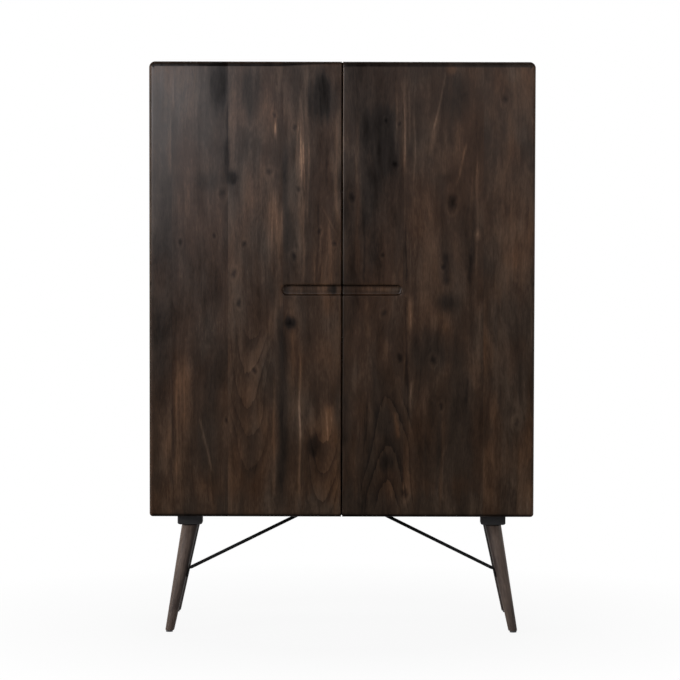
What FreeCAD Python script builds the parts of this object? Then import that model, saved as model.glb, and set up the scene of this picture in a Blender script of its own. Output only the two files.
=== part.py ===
# Two-door bar cabinet on splayed legs, with a shelf that folds down inside it.
#
# Millimetres. +Z is up, +X is to the right seen from the front, and the front faces -Y.
# The origin is on the floor, at the middle of the cabinet's width and depth.
# Right-hand pieces are modelled and mirrored for the left wherever the two sides match.

import FreeCAD, Part
import math
import os

from FreeCAD import Placement, Rotation, Vector

# ---------------------------------------------------------------- driving dimensions

# Overall
cabinet_width = 1000.0
cabinet_depth = 457.0
cabinet_height = 1490.0
door_bottom = 308.0             # floor to the lower edge of the doors

# Doors
door_thickness = 24.0
door_meeting_gap = 3.0          # between the two doors
door_case_gap = 2.0             # between the doors' backs and the case
door_end_overhang = 2.0         # the doors pass the case by this much at top and bottom
door_top_corner_radius = 20.0
door_bottom_corner_radius = 12.0
door_roundover = 9.0            # outer front edges
door_meeting_roundover = 3.0    # front edge where the doors meet

# Routed finger pull, half of it in each door
pull_half_length = 156.5
pull_height = 28.0
pull_depth = 13.0
pull_cove = 6.0                 # radius between the floor and the walls of the pull
pull_lip = 5.0                  # wood left in front of the undercut
pull_undercut = 4.0             # how far the floor runs up behind the lip

# Case
panel_thickness = 22.0
back_panel_thickness = 10.0
back_panel_lap = 11.0           # how far the back reaches into its rebates
back_panel_clearance = 0.2
case_top_corner_radius = 18.0
case_bottom_corner_radius = 10.0
housing_depth = 6.0             # housings for the fixed shelves in the sides

tongue_thickness = 8.0          # tongues on the sides, in grooves of the top and bottom
tongue_length = 9.0
tongue_front_stop = 20.0        # from the front edge, so that the joint doesn't show

# Shelves, housed in the sides
upper_shelf_setback = 10.0
counter_top = 902.0
lower_shelf_underside = 690.0
lower_shelf_setback = 12.0

# Bottle cradles on the lower shelf: a rail that carries sloped blocks between the bottles
bottle_count = 8
cradle_side_gap = 23.0          # between a cradle's ends and the sides of the case
cradle_height = 45.0
cradle_thickness = 18.0
cradle_rail_height = 10.0
bottle_place_floor = 45.0       # width between two blocks at the rail
bottle_place_mouth = 80.0       # width between two blocks at their tops
cradle_end_land = 16.0          # flat top of an end block
cradle_front_inset = 70.0       # from the front edge of the lower shelf
cradle_spacing = 210.0
cradle_edge_bevel = 2.0

# Stemware rails under the top
stem_rail_count = 8
stem_rail_side_gap = 23.0       # between the outer rails and the sides of the case
stem_slot = 32.0                # between the flanges, for the stems
stem_rail_length = 340.0
stem_rail_setback = 17.0
stem_web_width = 16.0
stem_web_height = 16.0
stem_flange_thickness = 10.0
stem_flange_chamfer = 14.0

# Folding shelf
flap_thickness = 18.0
flap_height = 224.0
flap_side_gap = 3.0
flap_hinge_gap = 1.0            # between the flap and the counter edge
flap_top_gap = 2.0              # between the closed flap and the upper shelf
open_flap_setback = 2.5         # from the front of the case to the lowered flap
flap_edge_round = 1.5
flap_notch_radius = 22.0
flap_rest_gap = 0.3             # between the lowered flap and its bearers
bearer_width = 18.0
bearer_height = 22.0
bearer_front_setback = 8.0
bearer_rear_gap = 5.0           # from the counter edge
stop_width = 36.0
stop_depth = 20.0
stop_height = 22.0
stop_side_inset = 51.0          # from a side of the case to the middle of a stop block
stop_gap = 0.3                  # between the closed flap and its stops
flap_catch_width = 44.0
flap_catch_height = 20.0
flap_catch_depth = 16.0
flap_catch_offset = 250.0
flap_strike_width = 36.0
flap_strike_height = 12.0
flap_strike_thickness = 1.2

# Continuous hinge of the folding shelf
long_hinge_knuckle_radius = 2.6
long_hinge_pin_radius = 1.25
long_hinge_leaf = 1.2
long_hinge_leaf_width = 17.0
long_hinge_end_margin = 6.0
long_hinge_knuckle_count = 5

# Door hinges
hinge_height = 75.0
hinge_knuckle_radius = 3.25
hinge_pin_radius = 1.5
hinge_leaf_thickness = 2.0
hinge_leaf_width = 28.0
hinge_end_margin = 100.0        # from a door's end to the middle of its end hinge
hinge_leaf_gap = 0.5            # between the door leaf and the case
hinge_barrel_cap = 5.0          # metal over the end of the pin

# Running clearances shared by both kinds of hinge
pin_clearance = 0.05            # radial
knuckle_clearance = 0.25        # around a knuckle
knuckle_end_gap = 0.3           # between knuckles along the pin

# Door catches and bumpers
catch_width = 40.0
catch_height = 12.0
catch_depth = 16.0
catch_proud = 0.5               # how far a catch stands in front of the case
catch_gap = 0.3                 # between a catch and its strike
strike_width = 34.0
bumper_size = 10.0              # square felt pads
bumper_inset = 22.0             # from the middle of the cabinet

# Bottle racks on the doors
rack_side_inset = 49.25         # from either edge of the door
rack_depth = 80.0
rack_board = 14.0
rack_floor_height = 40.0        # clear height between the case floor and a rack
rack_cheek_height = 148.0
rack_cheek_corner = 34.0
rack_rail_height = 24.0
rack_rail_thickness = 8.0
rack_rail_places = (40.0, 98.0)  # undersides of the rails, above the bottom of the cheeks

# Leg mounting blocks
block_size = 65.0
block_height = 30.0
block_side_inset = 95.0         # from the case's side to the middle of a block
block_end_inset = 75.0          # from the case's front or rear to the middle of a block
block_corner_bevel = 1.5
block_bottom_bevel = 2.5

# Legs: straight-tapered turnings that lean outwards in both directions
leg_top_radius = 21.2
leg_foot_radius = 11.3
leg_splay = 0.188               # sideways and lengthways travel per millimetre of height
glide_radius = 9.0
glide_height = 4.0

leg_stud_radius = 4.0
leg_stud_length = 42.0          # along the height, below the block
leg_stud_clearance = 0.05

# Braces between the front legs and the underside of the case
brace_radius = 4.0
brace_leg_height = 168.0        # where the brace meets the leg
brace_case_x = 114.0            # where the brace meets the case
brace_tab_thickness = 3.0
brace_tab_width = 15.0
brace_tab_length = 26.0
brace_seat_gap = 0.05

overcut = 1.0                   # how far cutting shapes pass the faces that they cut
same_place = 1e-4               # places closer than this are taken as the same

# ---------------------------------------------------------------- derived places

half_width = cabinet_width / 2
front = -cabinet_depth / 2
rear = cabinet_depth / 2

hinge_axis_inset = hinge_knuckle_radius + knuckle_clearance
hinge_axis_x = half_width - hinge_axis_inset
door_back = front + door_thickness
hinge_axis_y = door_back + hinge_axis_inset

case_front = door_back + door_case_gap
case_half_width = hinge_axis_x - hinge_axis_inset
case_top = cabinet_height - door_end_overhang
case_bottom = door_bottom + door_end_overhang
inner_half_width = case_half_width - panel_thickness
inner_top = case_top - panel_thickness
inner_bottom = case_bottom + panel_thickness
inner_rear = rear - back_panel_thickness

counter_front = case_front + open_flap_setback + flap_height + flap_hinge_gap
counter_underside = counter_top - panel_thickness
lower_shelf_top = lower_shelf_underside + panel_thickness
lower_shelf_front = case_front + lower_shelf_setback

flap_half_width = inner_half_width - flap_side_gap
flap_front = counter_front - flap_thickness
flap_bottom = counter_top + flap_hinge_gap
flap_top = flap_bottom + flap_height
open_flap_underside = counter_top - flap_thickness
stop_offset = inner_half_width - stop_side_inset

upper_shelf_underside = flap_top + flap_top_gap
upper_shelf_top = upper_shelf_underside + panel_thickness

cradle_half_length = inner_half_width - cradle_side_gap
outer_bottle_x = cradle_half_length - cradle_end_land - bottle_place_mouth / 2
bottle_pitch = 2 * outer_bottle_x / (bottle_count - 1)

stem_rail_pitch = (2 * (inner_half_width - stem_rail_side_gap) + stem_slot) / stem_rail_count
stem_flange_width = stem_rail_pitch - stem_slot

pull_middle = (door_bottom + cabinet_height) / 2
hinge_middles = (door_bottom + hinge_end_margin, pull_middle, cabinet_height - hinge_end_margin)

block_offset_x = case_half_width - block_side_inset
block_front_y = case_front + block_end_inset
block_rear_y = rear - block_end_inset
leg_top = case_bottom - block_height

x_axis = Vector(1, 0, 0)
y_axis = Vector(0, 1, 0)
z_axis = Vector(0, 0, 1)

# ---------------------------------------------------------------- small helpers


def block(x_low, x_high, y_low, y_high, z_low, z_high):
    """A box between two corners."""
    corner = Vector(x_low, y_low, z_low)
    return Part.makeBox(x_high - x_low, y_high - y_low, z_high - z_low, corner)


def rod(start, end, radius):
    """A round bar between two points."""
    along = end - start
    return Part.makeCylinder(radius, along.Length, start, along)


def mirrored(shape):
    """The same piece on the other side of the cabinet."""
    return shape.mirror(Vector(0, 0, 0), x_axis)


def both_sides(shapes):
    """Right-hand pieces with their mirrored twins."""
    return shapes + [mirrored(shape) for shape in shapes]


def group(shapes):
    """Several separate solids in one piece list."""
    return shapes[0] if len(shapes) == 1 else Part.makeCompound(shapes)


def edges_where(shape, wanted):
    """Edges whose bounding box passes a test."""
    return [edge for edge in shape.Edges if wanted(edge.BoundBox)]


def near(value, target):
    return abs(value - target) < same_place


def flat_in_y(box, y):
    return near(box.YMin, y) and near(box.YMax, y)


def flat_in_z(box, z):
    return near(box.ZMin, z) and near(box.ZMax, z)


def is_vertical(box):
    return near(box.XMin, box.XMax) and near(box.YMin, box.YMax)


def rounded_panel(x_low, x_high, z_low, z_high, radii, y, thickness):
    """Upright panel whose four corners may be rounded, each by its own radius.

    The corners run from low X and low Z, first along X. The panel grows from y along +Y.
    """
    corners = ((x_low, z_low), (x_high, z_low), (x_high, z_high), (x_low, z_high))
    inward = ((1, 1), (-1, 1), (-1, -1), (1, -1))
    ends = []
    arcs = []
    for index in range(len(corners)):
        x, z = corners[index]
        step_x, step_z = inward[index]
        radius = radii[index]
        on_side = Vector(x, y, z + step_z * radius)
        on_end = Vector(x + step_x * radius, y, z)
        start, finish = (on_side, on_end) if index % 2 == 0 else (on_end, on_side)
        ends.append((start, finish))
        if radius > 0:
            reach = radius * (1 - math.sqrt(0.5))
            middle = Vector(x + step_x * reach, y, z + step_z * reach)
            arcs.append(Part.Arc(start, middle, finish).toShape())
        else:
            arcs.append(None)
    outline = []
    for index in range(len(corners)):
        if arcs[index] is not None:
            outline.append(arcs[index])
        next_start = ends[(index + 1) % len(corners)][0]
        outline.append(Part.LineSegment(ends[index][1], next_start).toShape())
    return Part.Face(Part.Wire(outline)).extrude(y_axis * thickness)


nodes = {}


def keep(name, shape):
    """Store a finished piece under its name."""
    nodes[name] = shape


def keep_pair(name, right_shape):
    """Store a right-hand piece and its mirrored left-hand twin."""
    keep("right_" + name, right_shape)
    keep("left_" + name, mirrored(right_shape))


# ---------------------------------------------------------------- doors


def pull_cutters():
    """Half of the finger pull: a round-ended pocket with a coved floor, and its undercut."""
    end_radius = pull_height / 2
    straight = pull_half_length - end_radius

    def pocket(y_start, y_end, lift):
        low = pull_middle - end_radius + lift
        high = pull_middle + end_radius + lift
        corners = (
            Vector(0, y_start, low),
            Vector(straight, y_start, low),
            Vector(straight, y_start, high),
            Vector(0, y_start, high),
        )
        tip = Vector(pull_half_length, y_start, pull_middle + lift)
        outline = Part.Wire([
            Part.LineSegment(corners[0], corners[1]).toShape(),
            Part.Arc(corners[1], tip, corners[2]).toShape(),
            Part.LineSegment(corners[2], corners[3]).toShape(),
            Part.LineSegment(corners[3], corners[0]).toShape(),
        ])
        return Part.Face(outline).extrude(y_axis * (y_end - y_start))

    floor = front + pull_depth
    main = pocket(front - overcut, floor, 0)
    floor_edges = edges_where(main, lambda box: flat_in_y(box, floor) and box.XMax > overcut)
    main = main.makeFillet(pull_cove, floor_edges)
    return main, pocket(front + pull_lip, floor, pull_undercut)


def right_door():
    radii = (0, door_bottom_corner_radius, door_top_corner_radius, 0)
    meeting_edge = door_meeting_gap / 2
    door = rounded_panel(meeting_edge, half_width, door_bottom, cabinet_height, radii, front,
                         door_thickness)
    inner = edges_where(door, lambda box: flat_in_y(box, front) and near(box.XMax, meeting_edge))
    door = door.makeFillet(door_meeting_roundover, inner)
    past_round = meeting_edge + door_meeting_roundover + overcut
    outer = edges_where(door, lambda box: flat_in_y(box, front) and box.XMax > past_round)
    door = door.makeFillet(door_roundover, outer)
    pocket, undercut = pull_cutters()
    mortises = [door_leaf_mortise(middle) for middle in hinge_middles]
    return door.cut([pocket, undercut] + mortises)


# ---------------------------------------------------------------- door hinges

door_leaf_low = case_front - hinge_leaf_gap - hinge_leaf_thickness
door_leaf_high = case_front - hinge_leaf_gap


def door_leaf_mortise(middle):
    """Shallow recess that lets the door leaf into the back of the door."""
    return block(hinge_axis_x - hinge_leaf_width, half_width + overcut,
                 door_leaf_low, door_back + overcut,
                 middle - hinge_height / 2, middle + hinge_height / 2)


def knuckle(z_low, z_high, radius):
    """Upright round bar on the axis of the right door."""
    return Part.makeCylinder(radius, z_high - z_low, Vector(hinge_axis_x, hinge_axis_y, z_low), z_axis)


def lift_off_hinge(middle):
    """Case leaf with its pin, and the door leaf that turns on it, at rest on the right side."""
    low = middle - hinge_height / 2
    high = middle + hinge_height / 2
    case_span = (low, middle - knuckle_end_gap / 2)
    door_span = (middle + knuckle_end_gap / 2, high)
    bore_end = high - hinge_barrel_cap
    pin = knuckle(low, bore_end - knuckle_end_gap, hinge_pin_radius)
    bore = knuckle(middle, bore_end, hinge_pin_radius + pin_clearance)
    reach = hinge_knuckle_radius + knuckle_clearance

    def relief(span):
        return block(hinge_axis_x - reach, hinge_axis_x + reach, hinge_axis_y - reach - overcut,
                     hinge_axis_y + reach, span[0] - knuckle_end_gap, span[1] + knuckle_end_gap)

    case_leaf = block(case_half_width, case_half_width + hinge_leaf_thickness,
                      hinge_axis_y, hinge_axis_y + hinge_leaf_width, low, high)
    case_leaf = case_leaf.cut(relief(door_span))
    case_leaf = case_leaf.fuse([knuckle(case_span[0], case_span[1], hinge_knuckle_radius), pin])

    door_leaf = block(hinge_axis_x - hinge_leaf_width, hinge_axis_x,
                      door_leaf_low, door_leaf_high, low, high)
    door_leaf = door_leaf.cut(relief(case_span))
    door_leaf = door_leaf.fuse(knuckle(door_span[0], door_span[1], hinge_knuckle_radius)).cut(bore)
    return case_leaf.removeSplitter(), door_leaf.removeSplitter()


def make_door_hinges():
    hinges = [lift_off_hinge(middle) for middle in hinge_middles]
    keep("door_hinge_case_leaves", group(both_sides([hinge[0] for hinge in hinges])))
    keep_pair("hinge_door_leaves", group([hinge[1] for hinge in hinges]))


# ---------------------------------------------------------------- case


def side_tongues():
    """Tongues at the upper and lower end of the right side, stopped short of the front."""
    middle = case_half_width - panel_thickness / 2
    low_x = middle - tongue_thickness / 2
    high_x = middle + tongue_thickness / 2
    low_y = case_front + tongue_front_stop
    return [block(low_x, high_x, low_y, inner_rear, inner_top, inner_top + tongue_length),
            block(low_x, high_x, low_y, inner_rear, inner_bottom - tongue_length, inner_bottom)]


def back_rebate(grow):
    """Space of the back panel, or the rebate for it when it is grown by a clearance."""
    return block(-inner_half_width - back_panel_lap - grow, inner_half_width + back_panel_lap + grow,
                 inner_rear, rear + grow,
                 inner_bottom - back_panel_lap - grow, inner_top + back_panel_lap + grow)


def shelf_ends():
    """Depth and height ranges of the three shelves, which are also those of their housings."""
    return (
        (case_front + upper_shelf_setback, upper_shelf_underside, upper_shelf_top),
        (counter_front, counter_underside, counter_top),
        (lower_shelf_front, lower_shelf_underside, lower_shelf_top),
    )


def right_side():
    side = block(inner_half_width, case_half_width, case_front, rear, inner_bottom, inner_top)
    side = side.fuse(side_tongues()).removeSplitter()
    housings = [block(inner_half_width - overcut, inner_half_width + housing_depth,
                      shelf_front, inner_rear, low, high) for shelf_front, low, high in shelf_ends()]
    return side.cut(housings + [back_rebate(back_panel_clearance)])


def make_case():
    keep_pair("side", right_side())

    depth = rear - case_front
    top_radius = case_top_corner_radius
    top = rounded_panel(-case_half_width, case_half_width, inner_top, case_top,
                        (0, 0, top_radius, top_radius), case_front, depth)
    bottom_radius = case_bottom_corner_radius
    bottom = rounded_panel(-case_half_width, case_half_width, case_bottom, inner_bottom,
                           (bottom_radius, bottom_radius, 0, 0), case_front, depth)
    joint_cuts = both_sides(side_tongues()) + [back_rebate(back_panel_clearance)]
    keep("case_top", top.cut(joint_cuts))
    keep("case_bottom", bottom.cut(joint_cuts))
    keep("back_panel", back_rebate(0))


def make_shelves():
    housed = inner_half_width + housing_depth
    upper, counter, lower = [block(-housed, housed, shelf_front, inner_rear, low, high)
                             for shelf_front, low, high in shelf_ends()]
    keep("upper_shelf", upper)
    keep("counter_shelf", counter.cut([fixed_leaf_space(), long_hinge_cove()]))
    keep("lower_shelf", lower)


def cradle_block(foot, top, y_low):
    """Block between two bottles: its X ranges at the rail and at the top differ by the slopes."""
    low_z = lower_shelf_top + cradle_rail_height
    high_z = lower_shelf_top + cradle_height
    corners = [Vector(foot[0], y_low, low_z), Vector(foot[1], y_low, low_z),
               Vector(top[1], y_low, high_z), Vector(top[0], y_low, high_z)]
    block_shape = Part.Face(Part.makePolygon(corners + corners[:1])).extrude(y_axis * cradle_thickness)
    crests = edges_where(block_shape, lambda box: near(box.XMin, box.XMax) and flat_in_z(box, high_z))
    return block_shape.makeChamfer(cradle_edge_bevel, crests)


def bottle_cradle(y_low):
    """Rail with a row of blocks that carries bottles lying on their sides."""
    rail = block(-cradle_half_length, cradle_half_length, y_low, y_low + cradle_thickness,
                 lower_shelf_top, lower_shelf_top + cradle_rail_height)
    foot_half = (bottle_pitch - bottle_place_floor) / 2
    top_half = (bottle_pitch - bottle_place_mouth) / 2
    pieces = [rail]
    for index in range(bottle_count - 1):
        x = bottle_pitch * (index - (bottle_count - 2) / 2)
        pieces.append(cradle_block((x - foot_half, x + foot_half), (x - top_half, x + top_half), y_low))
    foot_start = outer_bottle_x + bottle_place_floor / 2
    top_start = outer_bottle_x + bottle_place_mouth / 2
    end_block = cradle_block((foot_start, cradle_half_length), (top_start, cradle_half_length), y_low)
    return group(pieces + both_sides([end_block]))


def make_cradles():
    front_cradle_y = lower_shelf_front + cradle_front_inset
    keep("front_bottle_cradle", bottle_cradle(front_cradle_y))
    keep("rear_bottle_cradle", bottle_cradle(front_cradle_y + cradle_spacing))


def stem_rail(x):
    """T-shaped rail: glass feet slide in above its flange, stems pass beside it."""
    rail_front = case_front + stem_rail_setback
    rail_rear = rail_front + stem_rail_length
    flange_low = inner_top - stem_web_height - stem_flange_thickness
    flange_high = inner_top - stem_web_height
    flange = block(x - stem_flange_width / 2, x + stem_flange_width / 2, rail_front, rail_rear,
                   flange_low, flange_high)
    front_corners = edges_where(flange, lambda box: is_vertical(box) and near(box.YMax, rail_front))
    flange = flange.makeChamfer(stem_flange_chamfer, front_corners)
    web = block(x - stem_web_width / 2, x + stem_web_width / 2, rail_front, rail_rear,
                flange_high, inner_top)
    return flange.fuse(web).removeSplitter()


def make_stem_rails():
    for index in range(stem_rail_count):
        x = stem_rail_pitch * (index - (stem_rail_count - 1) / 2)
        keep("stem_rail_%d" % (index + 1), stem_rail(x))


# ---------------------------------------------------------------- folding shelf

long_hinge_half = flap_half_width - long_hinge_end_margin
long_hinge_relief = long_hinge_knuckle_radius + knuckle_clearance


def long_hinge_bar(x_low, x_high, radius):
    """Round bar on the axis of the continuous hinge."""
    return rod(Vector(x_low, counter_front, counter_top), Vector(x_high, counter_front, counter_top),
               radius)


def long_hinge_cove():
    return long_hinge_bar(-long_hinge_half - knuckle_end_gap, long_hinge_half + knuckle_end_gap,
                          long_hinge_relief)


def fixed_leaf_space():
    """Leaf on the front edge of the counter."""
    return block(-long_hinge_half, long_hinge_half, counter_front, counter_front + long_hinge_leaf,
                 counter_top - long_hinge_leaf_width, counter_top)


def moving_leaf_space():
    """Leaf under the closed flap."""
    return block(-long_hinge_half, long_hinge_half, counter_front - long_hinge_leaf_width,
                 counter_front, flap_bottom, flap_bottom + long_hinge_leaf)


def long_hinge_spans():
    """X spans of the knuckles, fixed ones first and last."""
    pitch = 2 * long_hinge_half / long_hinge_knuckle_count
    gap = knuckle_end_gap / 2
    spans = []
    for index in range(long_hinge_knuckle_count):
        low = -long_hinge_half + index * pitch
        spans.append((low + gap, low + pitch - gap))
    return spans[0::2], spans[1::2]


def long_hinge_leaf_piece(space, own_spans, other_spans):
    """A leaf with its own knuckles, cleared where the other leaf's knuckles turn."""
    relief = [block(span[0] - knuckle_end_gap, span[1] + knuckle_end_gap,
                    counter_front - long_hinge_relief, counter_front + long_hinge_relief,
                    counter_top - long_hinge_relief, counter_top + long_hinge_relief)
              for span in other_spans]
    barrels = [long_hinge_bar(span[0], span[1], long_hinge_knuckle_radius) for span in own_spans]
    return space.cut(relief).fuse(barrels)


def make_long_hinge():
    """Continuous hinge: the pin is fixed in the counter leaf and turns in the flap leaf."""
    fixed_spans, moving_spans = long_hinge_spans()
    pin = long_hinge_bar(-long_hinge_half, long_hinge_half, long_hinge_pin_radius)
    bore = long_hinge_bar(-long_hinge_half - overcut, long_hinge_half + overcut,
                          long_hinge_pin_radius + pin_clearance)
    counter_leaf = long_hinge_leaf_piece(fixed_leaf_space(), fixed_spans, moving_spans).fuse(pin)
    flap_leaf = long_hinge_leaf_piece(moving_leaf_space(), moving_spans, fixed_spans).cut(bore)
    keep("shelf_hinge_counter_leaf", counter_leaf.removeSplitter())
    keep("shelf_hinge_flap_leaf", flap_leaf.removeSplitter())


def flap_strike(x):
    z_high = flap_top - stop_gap - (flap_catch_height - flap_strike_height) / 2
    return block(x - flap_strike_width / 2, x + flap_strike_width / 2,
                 counter_front - flap_strike_thickness, counter_front,
                 z_high - flap_strike_height, z_high)


def make_flap():
    flap = block(-flap_half_width, flap_half_width, flap_front, counter_front, flap_bottom, flap_top)
    front_edges = edges_where(flap, lambda box: flat_in_y(box, flap_front))
    flap = flap.makeFillet(flap_edge_round, front_edges)
    notch = rod(Vector(0, flap_front - overcut, flap_top), Vector(0, counter_front + overcut, flap_top),
                flap_notch_radius)
    strikes = [flap_strike(-flap_catch_offset), flap_strike(flap_catch_offset)]
    keep("fold_out_shelf", flap.cut([notch, moving_leaf_space(), long_hinge_cove()] + strikes))
    keep("fold_out_shelf_strikes", group(strikes))


def make_flap_supports():
    bearer_top = open_flap_underside - flap_rest_gap
    keep_pair("shelf_bearer", block(inner_half_width - bearer_width, inner_half_width,
                                    case_front + bearer_front_setback,
                                    counter_front - bearer_rear_gap,
                                    bearer_top - bearer_height, bearer_top))
    stop_front = counter_front + stop_gap
    stop = block(stop_offset - stop_width / 2, stop_offset + stop_width / 2,
                 stop_front, stop_front + stop_depth,
                 upper_shelf_underside - stop_height, upper_shelf_underside)
    keep("shelf_stop_blocks", group(both_sides([stop])))
    catch = block(flap_catch_offset - flap_catch_width / 2, flap_catch_offset + flap_catch_width / 2,
                  stop_front, stop_front + flap_catch_depth,
                  upper_shelf_underside - flap_catch_height, upper_shelf_underside)
    keep("shelf_catches", group(both_sides([catch])))


# ---------------------------------------------------------------- door fittings


def make_door_fittings():
    catch_x = stem_rail_pitch / 2
    catch_front = case_front - catch_proud
    catch = block(catch_x - catch_width / 2, catch_x + catch_width / 2,
                  catch_front, catch_front + catch_depth, inner_top - catch_height, inner_top)
    keep("door_catches", group(both_sides([catch])))
    keep_pair("door_strike", block(catch_x - strike_width / 2, catch_x + strike_width / 2,
                                   door_back, catch_front - catch_gap,
                                   inner_top - catch_height, inner_top))
    half = bumper_size / 2
    bumpers = [block(bumper_inset - half, bumper_inset + half, door_back, case_front, z - half, z + half)
               for z in (case_top - panel_thickness / 2, case_bottom + panel_thickness / 2)]
    keep_pair("door_bumpers", group(bumpers))


def make_door_racks():
    """Bottle rack on the inside of each door: a floor, two cheeks and two rails."""
    low_x = door_meeting_gap / 2 + rack_side_inset
    high_x = half_width - rack_side_inset
    open_edge = door_back + rack_depth
    low_z = inner_bottom + rack_floor_height
    keep_pair("rack_floor", block(low_x + rack_board, high_x - rack_board, door_back, open_edge,
                                  low_z, low_z + rack_board))
    rails = [block(low_x, high_x, open_edge - rack_rail_thickness, open_edge,
                   low_z + place, low_z + place + rack_rail_height) for place in rack_rail_places]

    def cheek(x_low):
        board = block(x_low, x_low + rack_board, door_back, open_edge, low_z, low_z + rack_cheek_height)
        corner = edges_where(board, lambda box: near(box.YMin, open_edge) and flat_in_z(
            box, low_z + rack_cheek_height))
        return board.makeFillet(rack_cheek_corner, corner).cut(rails)

    keep_pair("rack_cheeks", group([cheek(low_x), cheek(high_x - rack_board)]))
    keep_pair("rack_rails", group(rails))


# ---------------------------------------------------------------- base


def leg_axis(side, end, z):
    """Point on the middle line of a leg; side and end are the signs of its lean in X and Y."""
    middle_y = block_front_y if end < 0 else block_rear_y
    drop = leg_top - z
    return Vector(side * (block_offset_x + leg_splay * drop), middle_y + end * leg_splay * drop, z)


def leg_radius(z):
    """Radius of a leg square to its middle line, where that line is at height z."""
    return leg_foot_radius + (leg_top_radius - leg_foot_radius) * z / leg_top


def leg_stud(side, end, grow):
    """Stud of a mounting block, along the leg's middle line; it starts inside the block."""
    low = leg_axis(side, end, leg_top - leg_stud_length - grow)
    high = leg_axis(side, end, leg_top + block_height / 2)
    return rod(low, high, leg_stud_radius + grow)


def leg_section(side, end, z):
    """Level cut through a leg: an ellipse, longer along the lean."""
    lean = math.sqrt(2) * leg_splay
    radius = leg_radius(z)
    ellipse = Part.Ellipse(leg_axis(side, end, z), radius * math.sqrt(1 + lean * lean), radius)
    ellipse.XAxis = Vector(side, end, 0)
    return Part.Wire(ellipse.toShape())


def leg(side, end):
    """Straight-tapered leg, cut level at its top and over its glide."""
    sections = [leg_section(side, end, leg_top), leg_section(side, end, glide_height)]
    return Part.makeLoft(sections, True, True)


def glide(side, end):
    return Part.makeCylinder(glide_radius, glide_height, leg_axis(side, end, 0), z_axis)


def mounting_block(side, end):
    """Steel block under the case with the stud that its leg screws onto."""
    middle_y = block_front_y if end < 0 else block_rear_y
    half = block_size / 2
    body = block(side * block_offset_x - half, side * block_offset_x + half,
                 middle_y - half, middle_y + half, leg_top, case_bottom)
    body = body.makeChamfer(block_corner_bevel, edges_where(body, is_vertical))
    body = body.makeChamfer(block_bottom_bevel, edges_where(body, lambda box: flat_in_z(box, leg_top)))
    return body.fuse(leg_stud(side, end, 0)).removeSplitter()


leg_places = {
    "front_left": (-1, -1),
    "front_right": (1, -1),
    "rear_left": (-1, 1),
    "rear_right": (1, 1),
}


def make_legs():
    for name, (side, end) in leg_places.items():
        keep(name + "_leg", leg(side, end).cut(leg_stud(side, end, leg_stud_clearance)))
        keep(name + "_mounting_block", mounting_block(side, end))
    keep("leg_glides", group([glide(side, end) for side, end in leg_places.values()]))


# ---------------------------------------------------------------- braces


def on_leg_inside(z):
    """Point on the inner side of the front right leg, where its middle line is at height z."""
    slant = math.sqrt(1 + leg_splay * leg_splay)
    middle = leg_axis(1, -1, z)
    return middle - x_axis * (leg_radius(z) * slant + brace_seat_gap)


def leg_tab_frame():
    """Placement on the leg's inner side: local X down the leg, local Z away from it."""
    seat = on_leg_inside(brace_leg_height)
    down = (on_leg_inside(brace_leg_height - brace_tab_length) - seat).normalize()
    across = down.cross(x_axis * -1).normalize()
    outward = across.cross(down) * -1
    if outward.x > 0:
        outward = outward * -1
        across = across * -1
    return Placement(seat, Rotation(down, across, outward, "ZXY"))


def case_tab_frame():
    """Placement under the case: local X towards the middle of the cabinet, local Z down."""
    seat = Vector(brace_case_x, on_leg_inside(brace_leg_height).y, case_bottom)
    return Placement(seat, Rotation(x_axis * -1, y_axis, z_axis * -1, "ZXY"))


def tab(frame):
    """Flattened end of a brace, round at its free end."""
    half = brace_tab_width / 2
    strip = block(0, brace_tab_length - half, -half, half, 0, brace_tab_thickness)
    nose = Part.makeCylinder(half, brace_tab_thickness, Vector(brace_tab_length - half, 0, 0), z_axis)
    shape = strip.fuse(nose).removeSplitter()
    shape.Placement = frame
    return shape


def make_braces():
    leg_frame = leg_tab_frame()
    case_frame = case_tab_frame()
    bar = rod(leg_frame.multVec(Vector(0, 0, brace_radius)), case_frame.multVec(Vector(0, 0, brace_radius)),
              brace_radius)
    keep_pair("brace", bar.fuse([tab(leg_frame), tab(case_frame)]).removeSplitter())


# ---------------------------------------------------------------- build and write

keep_pair("door", right_door())
make_door_hinges()
make_case()
make_shelves()
make_cradles()
make_stem_rails()
make_flap()
make_long_hinge()
make_flap_supports()
make_door_fittings()
make_door_racks()
make_legs()
make_braces()

os.makedirs("parts", exist_ok=True)
for node_name, node_shape in nodes.items():
    node_shape.exportStep("parts/%s.step" % node_name)
print("%d pieces written" % len(nodes))
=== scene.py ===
import math

import bmesh
import bpy
import numpy as np
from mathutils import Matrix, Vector


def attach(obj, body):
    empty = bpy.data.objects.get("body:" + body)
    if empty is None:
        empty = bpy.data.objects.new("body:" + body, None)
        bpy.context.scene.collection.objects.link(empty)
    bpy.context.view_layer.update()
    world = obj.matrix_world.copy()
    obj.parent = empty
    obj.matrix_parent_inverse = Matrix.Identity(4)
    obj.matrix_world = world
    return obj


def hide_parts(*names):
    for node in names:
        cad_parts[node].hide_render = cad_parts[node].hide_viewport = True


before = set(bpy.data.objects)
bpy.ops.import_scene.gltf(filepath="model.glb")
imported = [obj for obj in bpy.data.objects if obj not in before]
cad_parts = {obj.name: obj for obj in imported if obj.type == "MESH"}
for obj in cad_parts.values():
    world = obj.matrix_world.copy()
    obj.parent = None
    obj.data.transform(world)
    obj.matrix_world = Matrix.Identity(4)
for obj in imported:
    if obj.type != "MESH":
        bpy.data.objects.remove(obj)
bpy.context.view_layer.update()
print("frame loaded:", len(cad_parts), "nodes")

mm = 0.001


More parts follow.
